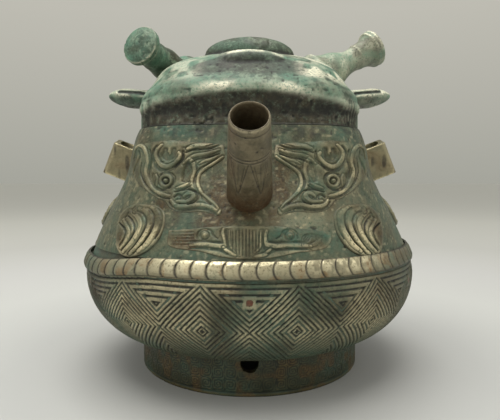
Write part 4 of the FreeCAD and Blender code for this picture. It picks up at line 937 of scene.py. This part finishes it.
def spout():
    rows, columns = 240, 170
    turn = np.linspace(0, 2 * math.pi, rows, endpoint=False)
    a, b = np.meshgrid(turn, np.linspace(52.0, 0.0, columns), indexing="ij")
    across = np.cross(SPOUT_WAY, [0.0, 0.0, 1.0])
    across = across / np.linalg.norm(across)
    above = np.cross(across, SPOUT_WAY)
    side = np.sin(a)[..., None] * across - np.cos(a)[..., None] * above
    reach = 7.7 + (10.4 - 7.7) * b / 52.11
    middle = SPOUT_TIP - SPOUT_WAY * b[..., None]
    p = middle + side * reach[..., None]
    rings = sum(bell(b - c, 0.3) for c in (3.4, 15.2, 16.8))
    blade = np.abs(((a / (2 * math.pi)) * 6) % 1 - 0.5) * 2
    length = unit((b - 17.5) / 19.0)
    leaf = bell(np.abs(blade - (1 - length) * 0.9), 0.05) * (b > 17.5) * (b < 36)
    inner_leaf = bell(blade - (1 - length) * 0.62, 0.05) * (b > 18.5) * (b < 31)
    spine = bell(blade, 0.045) * (b > 18.5) * (b < 30)
    lip = unit(1 - b)
    height = -0.22 * unit(rings + leaf + 0.8 * inner_leaf + 0.7 * spine)
    height = height - 0.35 * lip ** 2 - 0.04 * (1 + rough(p, 2.8, 91))
    height = height - 0.14 * specks(p, 1.5, 93, 0.8, 0.96) - 0.1 * (1 + rough(p, 12.0, 95))
    marks = relief_marks(height, p, 3, 0.14, 0.14, True)
    marks[1] = unit(marks[1] * 0.4 + 0.7 * (1 - smooth(b, 0.2, 1.5)))
    marks[2] = smooth(b, 26, 46) * 0.9 + 0.5 * specks(p, 9.0, 97, 0.6, 0.85)
    marks[3] = 0.3 * specks(p, 11.0, 99, 0.55, 0.8)
    # The bore's marks: painted shade, darker deeper inside
    inner = np.stack([smooth(b, 12.0, 32.0), 0.2 * (1 - smooth(b, 0.0, 2.0)), 0.4 + 0 * b, marks[3]])
    bore = middle + side * (6.62 + 0.35 * lip ** 2)[..., None]
    quads = grid_faces(rows, columns, True, flip=True)
    obj = slab("spout_dressed", p + side * height[..., None], bore, quads, marks, inner, crisp=80)
    place(obj, "vessel", "worn_bronze", spout_bronze, "spout")


spout()

# Pieces carved from their CAD form

def carved(node, body, slot_name, material, voxel, marker, depth, shaper):
    # The CAD form as an even mesh, its edges rounded and its surface eaten inward
    mesh = nodes[node].data.copy()
    obj = linked(node + "_dressed", mesh)
    even = obj.modifiers.new("even", "REMESH")
    even.mode = "VOXEL"
    even.voxel_size = voxel * MM
    fresh = bpy.data.meshes.new_from_object(obj.evaluated_get(bpy.context.evaluated_depsgraph_get()))
    obj.modifiers.clear()
    obj.data = fresh
    bpy.data.meshes.remove(mesh)
    count = len(fresh.vertices)
    p = read(fresh, "co") / MM
    pairs = np.zeros(len(fresh.edges) * 2, np.int32)
    fresh.edges.foreach_get("vertices", pairs)
    one, other = pairs.reshape(-1, 2).T
    valence = np.bincount(pairs, minlength=count).astype(float)

    def around(field):
        out = [np.bincount(one, column[other], count) + np.bincount(other, column[one], count) for column in field.T]
        return np.stack(out, -1) / np.maximum(valence, 1)[:, None]

    for turn in range(2):
        p = 0.45 * p + 0.55 * around(p)
    fresh.vertices.foreach_set("co", (p * MM).ravel())
    fresh.update()
    n = read(fresh, "normal")
    eaten = 0.3 * (1 + rough(p, 3.2, 101)) + 0.9 * specks(p, 1.5, 103, 0.7, 0.94)
    p = shaper(p - n * (depth * eaten)[:, None], n)
    mean = p
    for turn in range(6):
        mean = around(mean)
    bend = ((mean - p) * n).sum(1)
    # Dark where the surface is hollow and bright where it bulges: grime and wear, with painted shade and painted
    # highlight
    marks = np.stack([smooth(bend, 0.05, 0.3), smooth(-bend, 0.03, 0.22), 0 * bend, 0 * bend])
    marker(p, n, marks)
    fresh.vertices.foreach_set("co", (p * MM).ravel())
    write_marks(fresh, unit(marks).T)
    fresh.shade_smooth()
    place(obj, body, slot_name, material, node)


def horn_marks(p, n, marks):
    marks[2] = 0.8 * specks(p, 7.0, 111, 0.55, 0.75)
    marks[3] = 0.5 + 0.5 * specks(p, 12.0, 113, 0.3, 0.6)
    # Painted shade on the surfaces that face down
    marks[0] = unit(marks[0] + 0.5 * smooth(-n[:, 2], 0.1, 0.8))
    pale = (0.2 + 0.25 * specks(p, 4.0, 117, 0.2, 0.8)) * (p[:, 0] > 0)
    marks[1] = unit(marks[1] * 0.8 * specks(p, 9.0, 115, 0.35, 0.6) + pale)


def horn_shape(p, n):
    # Fuller in the lower stem than the plain turned form, and the right one in its cap
    side = np.sign(p[:, 0].mean())
    rise, forward, thickest = (0.2443, 1.1519, 18) if side < 0 else (0.5061, -0.2618, 12)
    way = np.array([side * math.cos(rise) * math.cos(forward), -math.cos(rise) * math.sin(forward), math.sin(rise)])
    along = (p - np.array([side * 41.0, 15.0, 160.5])) @ way
    stem = bell(along - thickest, 8.5) * (2.3 + 1.3 * unit(n[:, 2]))
    cap = smooth(along, 12, 30) * (side > 0) * unit(0.55 * n[:, 0] + 0.83 * n[:, 2])
    return p + n * (stem + 1.6 * cap)[:, None]


def lug_shape(p, n):
    # The front of each tube's upper mouth is worn down, so that its bore shows
    side = np.sign(p[:, 0].mean())
    axis = np.array([-side * math.sin(0.3752), 0.0, math.cos(0.3752)])
    along = (p - np.array([side * 63.87, 0.0, 108.2])) @ axis
    return p - axis * (2.3 * smooth(along, 5.5, 10.0) * smooth(-p[:, 1], -3.0, 6.0))[:, None]


def slit_of(p, n):
    # How near the front of an ear each point is to the slit between its two lips
    line = np.array([(72.5, 149.2), (66.0, 148.4), (58.0, 147.4)])
    d, _ = line_distance(np.stack([np.abs(p[:, 0]), p[:, 2]], -1), line)
    return bell(d, 1.0) * smooth(-n[:, 1], 0.1, 0.5)


def ear_shape(p, n):
    # Blunter toward the tip, and slit along the front
    q = p.copy()
    out = np.abs(p[:, 0])
    q[:, 2] += (p[:, 2] - 146.3) * 0.24 * smooth(out, 60, 72) + 0.08 * np.maximum(out - 57, 0)
    q[:, 1] += 1.5 * slit_of(q, n)
    return q


def ear_marks(p, n, marks):
    horn_marks(p, n, marks)
    slit = slit_of(p, n)
    # Painted shade in the slit, and painted highlight on the surfaces that face up
    marks[0] = unit(marks[0] + 1.2 * slit)
    marks[1] = unit(marks[1] + 0.6 * smooth(n[:, 2], 0.2, 0.7) - slit)


def lug_marks(p, n, marks):
    marks[0] = unit(marks[0] + 0.85 * specks(p * np.array([1.0, 1.0, 0.3]), 2.2, 125, 0.55, 0.75))
    marks[2] = 0.5 * specks(p, 6.0, 121, 0.6, 0.8)
    marks[3] = 0.25 * specks(p, 8.0, 123, 0.5, 0.75)


for side in ("left", "right"):
    carved(side + "_horn", "lid", "green_patina", patina_green, 0.42, horn_marks, 0.3, horn_shape)
    carved(side + "_ear", "lid", "green_patina", patina_green, 0.4, ear_marks, 0.3, ear_shape)
    carved(side + "_lug", "vessel", "worn_bronze", lug_bronze, 0.42, lug_marks, 0.18, lug_shape)

# Mask lid

STAR = np.array([0.0, 0.0, 118.0])
JAW = [(-50.6, -38.5, 134.4), (-43, -47.4, 135.6), (-30, -52.2, 138.0), (-15, -53.6, 140.4), (0, -54.0, 141.6),
       (15, -53.6, 140.4), (30, -52.2, 138.0), (43, -47.4, 135.6), (50.6, -38.5, 134.4)]
LIP = [(-26, -30, 150.8), (-19, -34.6, 154.0), (-10, -37.2, 156.6), (0, -38.0, 157.6), (10, -37.2, 156.6),
       (19, -34.6, 154.0), (26, -30, 150.8)]


def exit_of(way, centre, size):
    # How far from the star point each ray leaves an ellipsoid, or a large negative number where it misses
    d, o = way / size, (STAR - centre) / size
    a = (d * d).sum(-1)
    b = (d * o).sum(-1)
    inner = b * b - a * ((o * o).sum() - 1)
    return np.where(inner > 0, (-b + np.sqrt(np.maximum(inner, 0))) / a, -1e3)


def roll_of(way, line, steps, size):
    # How far each ray leaves a roll of ellipsoids along a line
    return np.max([exit_of(way, point, np.array(size)) for point in curve_through(line, steps)], 0)


def smooth_max(a, b, k):
    h = unit(0.5 + 0.5 * (a - b) / k)
    return b + (a - b) * h + k * h * (1 - h)


def lid_profile(count):
    # Stations up the lid's side, then in over its crown
    z = np.concatenate([np.linspace(LID_SEAT, 139.0, 300), np.linspace(139.05, 168.6, 600)])
    half = np.where(z < 139, LID_HALF[0], lid_half(np.maximum(z, 139)))
    share = np.linspace(0, 1, 300)[1:]
    z = np.concatenate([z, 168.6 + 0.9 * np.sin(share * math.pi / 2)])
    half = np.concatenate([half, 19.0 * (1 - share)])
    run = np.concatenate([[0], np.cumsum(np.hypot(np.diff(z), np.diff(half)))])
    at = np.linspace(0, run[-1], count)
    return np.interp(at, run, z), np.interp(at, run, half)


def lid_mask():
    rows, columns = 600, 156
    az = np.linspace(0, 2 * math.pi, rows, endpoint=False)
    z_line, half_line = lid_profile(columns)
    a, z = np.meshgrid(az, z_line, indexing="ij")
    inner_z = np.clip(z, 139.0, 168.6)
    square = np.where(z < 139, 1.0, unit(lid_square(inner_z)))
    p = round_axis(a, squarish(a, np.broadcast_to(half_line, a.shape), square), z)
    p[..., 1] += np.where(z < 139, 0.0, lid_shift(inner_z))
    base = np.linalg.norm(p - STAR, axis=-1)
    way = (p - STAR) / base[..., None]
    ridge = roll_of(way, JAW, 5, (3.6, 3.5, 3.9))
    lip = roll_of(way, LIP, 4, (5.0, 6.0, 6.1))
    slope = bell(z - 147.5, 6.0) * smooth(np.abs(p[..., 0]), 30, 48) * smooth(-p[..., 1], 0, 25)
    far = smooth_max(smooth_max(base - 2.6 * slope, ridge, 1.8), lip, 1.0)
    for centre, size, k in (((0, -13, 167), (24, 11.5, 9.5), 1.2), ((0, 6, 167.5), (8.5, 25, 8), 3.0),
                            ((23, 4, 165), (9.5, 6, 5), 1.0), ((-23, 4, 165), (9.5, 6, 5), 1.0)):
        far = smooth_max(far, exit_of(way, np.array(centre, float), np.array(size, float)), k)
    far = 0.35 * far + 0.65 * blurred(far, 1, True)
    q = STAR + way * far[..., None]
    x, y, h = q[..., 0].copy(), q[..., 1].copy(), q[..., 2].copy()
    wide, plan = np.abs(x), np.stack([np.abs(x), y], -1)

    def groove(points, amount, width, low=150.0):
        d, _ = line_distance(plan, curve_through(points, 6))
        return amount * bell(d, width) * (h > low)

    cut = np.max([groove([(0, -29.2), (14, -28.8), (25, -25), (31, -18), (32, -11)], 1.3, 1.1),
                  groove(ring_of((10, -8.5), 3.6, 0.8, 2.2), 0.9, 0.7, 168.0),
                  groove([(14, -1.2), (18, -3), (25, -3), (32, 1), (34, 6)], 0.7, 0.6),
                  groove([(14, 6), (20, 11.5), (28, 11.5), (34, 7)], 1.0, 0.7),
                  groove([(9.5, 6), (9, 16), (7, 26), (3, 33)], 0.8, 0.8)], 0)
    brow = groove([(11, 9), (17, 15.5), (26, 17), (36, 12.5)], 1.1, 2.0)
    corner = bell(wide - 50, 5) * bell(y + 44, 9) * (h < 138)
    stripes = 0.5 * corner * (0.5 + 0.5 * np.sin(x * 2.6 + y * 1.2))
    edge_line = 140.6 - 6.5 * (x / 50) ** 2
    low_wall = smooth(edge_line - h, -0.8, 1.6) * smooth(-y, 30, 44)
    pits = specks(q, 1.7, 131, 0.7, 0.95) * (0.35 + 0.4 * low_wall)
    waves = 0.12 * (1 + rough(q, 4.0, 133)) + 0.22 * low_wall * (1 + rough(q, 2.4, 135))
    hollowed = 1.3 * bell(h - 132.0, 4.5) * smooth(-y, 34, 46) * (1 - smooth(wide, 34, 50))
    height = brow - cut - stripes - pits - waves - hollowed
    height = height * (0.25 + 0.75 * smooth(h, LID_SEAT, LID_SEAT + 0.7))
    q = q + way * height[..., None]
    q[..., 2] = np.minimum(q[..., 2], 176.5)
    shape = far + height
    marks = relief_marks(shape - blurred(shape, 9, True) + height, q, 3, 0.7, 0.5, True)
    # Painted highlights on the cheeks, twice as strong on the right side
    cheek_highlight = smooth(wide, 19, 27) * smooth(h, 143, 150)
    nose = ((x / 26) ** 2 + ((y + 13) / 13) ** 2 < 1) * 1.0
    lip_top = 162.2 - 7.0 * (x / 26) ** 2
    # Painted highlight along the lip's upper rim
    lip_rim_highlight = smooth(lip - base, -0.2, 0.8) * smooth(h - lip_top, -1.4, 0.2)
    shade = smooth(h, 147.2, 150.5) * (1 - lip_rim_highlight) * (1 - smooth(h - lip_top, -0.6, 0.6))
    shade = shade * (1 - smooth(wide, 24.5, 29)) * smooth(-y, 18, 30)
    # Painted highlight along the jaw ridge's crest, strongest in two spots either side of the middle
    ridge_highlight = bell(h - edge_line - 2.4, 2.2) * smooth(-y, 30, 44)
    patchy = specks(q, 4.5, 141, 0.3, 0.62)
    ridge_highlight_spots = bell(x + 15, 8) + 0.9 * bell(x - 18, 8) + 0.1
    marks[1] = unit(marks[1] * 0.35 * (1 - shade) + 1.15 * ridge_highlight * ridge_highlight_spots * (0.4 + 0.6 * patchy)
                    + cheek_highlight * patchy * np.where(x > 0, 1.0, 0.5) * (1 - low_wall) - 0.6 * nose
                    + 0.7 * lip_rim_highlight * patchy)
    marks[2] = unit(0.4 * shade + 0.5 * nose + low_wall + 0.3 * specks(q, 11.0, 137, 0.6, 0.8))
    leafy = bell(x + 21, 6) * bell(h - 135, 4) + 0.6 * smooth(x, 22, 40)
    marks[3] = unit(0.8 - low_wall * (0.75 - 0.6 * leafy) - 0.3 * shade + 0.1 * nose)
    dim = 0.5 * low_wall * specks(q, 3.2, 139, 0.2, 0.5) * smooth(h, LID_SEAT, 132)
    # Painted shadow along the seam under the lid
    seam_shadow = 0.9 * (1 - smooth(h, LID_SEAT + 0.2, LID_SEAT + 1.2))
    marks[0] = unit(marks[0] + dim + shade * (0.26 + 0.34 * patchy) + seam_shadow)
    low = STAR + way * (base - 3.2)[..., None]
    low[..., 2] = np.maximum(low[..., 2], LID_SEAT)
    obj = slab("lid_mask_dressed", q, low, grid_faces(rows, columns, True), marks)
    weld = bmesh.new()
    weld.from_mesh(obj.data)
    bmesh.ops.remove_doubles(weld, verts=weld.verts, dist=1e-7)
    weld.to_mesh(obj.data)
    weld.free()
    obj.data.shade_smooth()
    obj.data.set_sharp_from_angle(angle=math.radians(75))
    place(obj, "lid", "green_patina", patina_green, "lid_mask")


lid_mask()

# CAD nodes that show as they are

for node, material in (("wall_chaplets", chaplet_red), ("lid_flange", inner_bronze),
                       ("left_horn_core", core_clay), ("right_horn_core", core_clay)):
    nodes[node].data.materials.clear()
    nodes[node].data.materials.append(material)

# Camera, floor and light

camera = linked("camera", bpy.data.cameras.new("camera"))
camera.data.sensor_width = 36.0
camera.data.lens = 34.56
camera.data.shift_x = 0.001
camera.data.clip_start, camera.data.clip_end = 0.02, 60.0
camera.location = Vector(EYE) * MM
camera.rotation_euler = (math.radians(86.64), 0.0, 0.0)
bpy.context.scene.camera = camera
bpy.context.scene.view_settings.view_transform = "Standard"


def floor_disc():
    around, out = 96, 61
    radii = np.concatenate([[0.02], np.geomspace(0.05, 30.0, out - 1)])
    a, r = np.meshgrid(np.linspace(0, 2 * math.pi, around, endpoint=False), radii, indexing="ij")
    p = round_axis(a, r, 0 * r) / MM
    obj = mesh_object("floor", p.reshape(-1, 3), grid_faces(around, out, True))
    cap = bmesh.new()
    cap.from_mesh(obj.data)
    cap.verts.ensure_lookup_table()
    cap.faces.new([cap.verts[k * out] for k in range(around)])
    cap.to_mesh(obj.data)
    cap.free()
    return obj


floor = floor_disc()
floor_paint = bpy.data.materials.new("floor_paint")
floor_paint.use_nodes = True
tree = floor_paint.node_tree
reach = add(tree, "VectorMath", {0: add(tree, "TexCoord", {}).outputs["Object"]}, operation="LENGTH")
reach_log = add(tree, "Math", {0: reach.outputs["Value"], 1: 10.0}, operation="LOGARITHM")
fade = add(tree, "MapRange", {"From Min": -1.3, "From Max": 0.7, "Value": reach_log.outputs[0]})
tones = add(tree, "ValToRGB", {"Fac": fade.outputs["Result"]})
# Floor tones by distance from the vessel: darker close by, a painted shade round its base, and paler far out
FLOOR_TONES = ((0.0, (190, 190, 185)), (0.2, (194, 195, 191)), (0.32, (208, 209, 204)), (0.42, (207, 207, 203)),
               (0.52, (206, 206, 199)), (0.66, (226, 226, 216)), (1.0, (226, 226, 215)))
while len(tones.color_ramp.elements) < len(FLOOR_TONES):
    tones.color_ramp.elements.new(0.5)
for element, (at, tone) in zip(tones.color_ramp.elements, FLOOR_TONES):
    element.position = at
    element.color = srgb(*tone)
feed(tree, tree.nodes["Principled BSDF"], {
    "Roughness": 0.75, "Specular IOR Level": 0.25, "Base Color": tones.outputs["Color"]})
floor.data.materials.append(floor_paint)

world = bpy.data.worlds.new("studio")
bpy.context.scene.world = world
world.use_nodes = True
tree = world.node_tree
sky = tree.nodes["Background"]
feed(tree, sky, {"Color": (1.0, 0.99, 0.96, 1.0), "Strength": 0.48})
way_up = add(tree, "SeparateXYZ", {0: add(tree, "TexCoord", {}).outputs["Generated"]})
rise = add(tree, "MapRange", {"From Min": 0.0, "From Max": 0.32, "Value": way_up.outputs["Z"]})
sweep = blend_colour(tree, rise.outputs["Result"], srgb(165, 165, 156), srgb(190, 188, 178))
seen = add(tree, "Background", {"Color": sweep})
path = add(tree, "LightPath", {}).outputs
straight = product(tree, path["Is Camera Ray"], path["Is Transmission Ray"], "MAXIMUM")
straight = product(tree, straight, path["Is Glossy Ray"], "MAXIMUM")
choose = add(tree, "MixShader", {"Fac": straight, 1: sky.outputs[0], 2: seen.outputs[0]})
feed(tree, tree.nodes["World Output"], {"Surface": choose.outputs[0]})


def lamp(name, at, size, power, tint=(1.0, 1.0, 1.0)):
    # A lamp aimed at the middle of the vessel
    light = bpy.data.lights.new(name, "AREA")
    light.shape = "RECTANGLE"
    light.size, light.size_y = size
    light.energy = power
    light.color = tint
    obj = linked(name, light)
    obj.location = at
    obj.rotation_euler = (Vector((0.0, 0.0, 0.1)) - Vector(at)).to_track_quat("-Z", "Y").to_euler()


lamp("overhead", (-0.1, -0.1, 0.95), (0.8, 0.7), 7.2, (1.0, 0.99, 0.96))
lamp("left_front", (-0.75, -0.65, 0.6), (0.5, 0.6), 1.2)
lamp("right_side", (0.85, -0.25, 0.55), (0.45, 0.6), 1.0, (1.0, 0.98, 0.94))
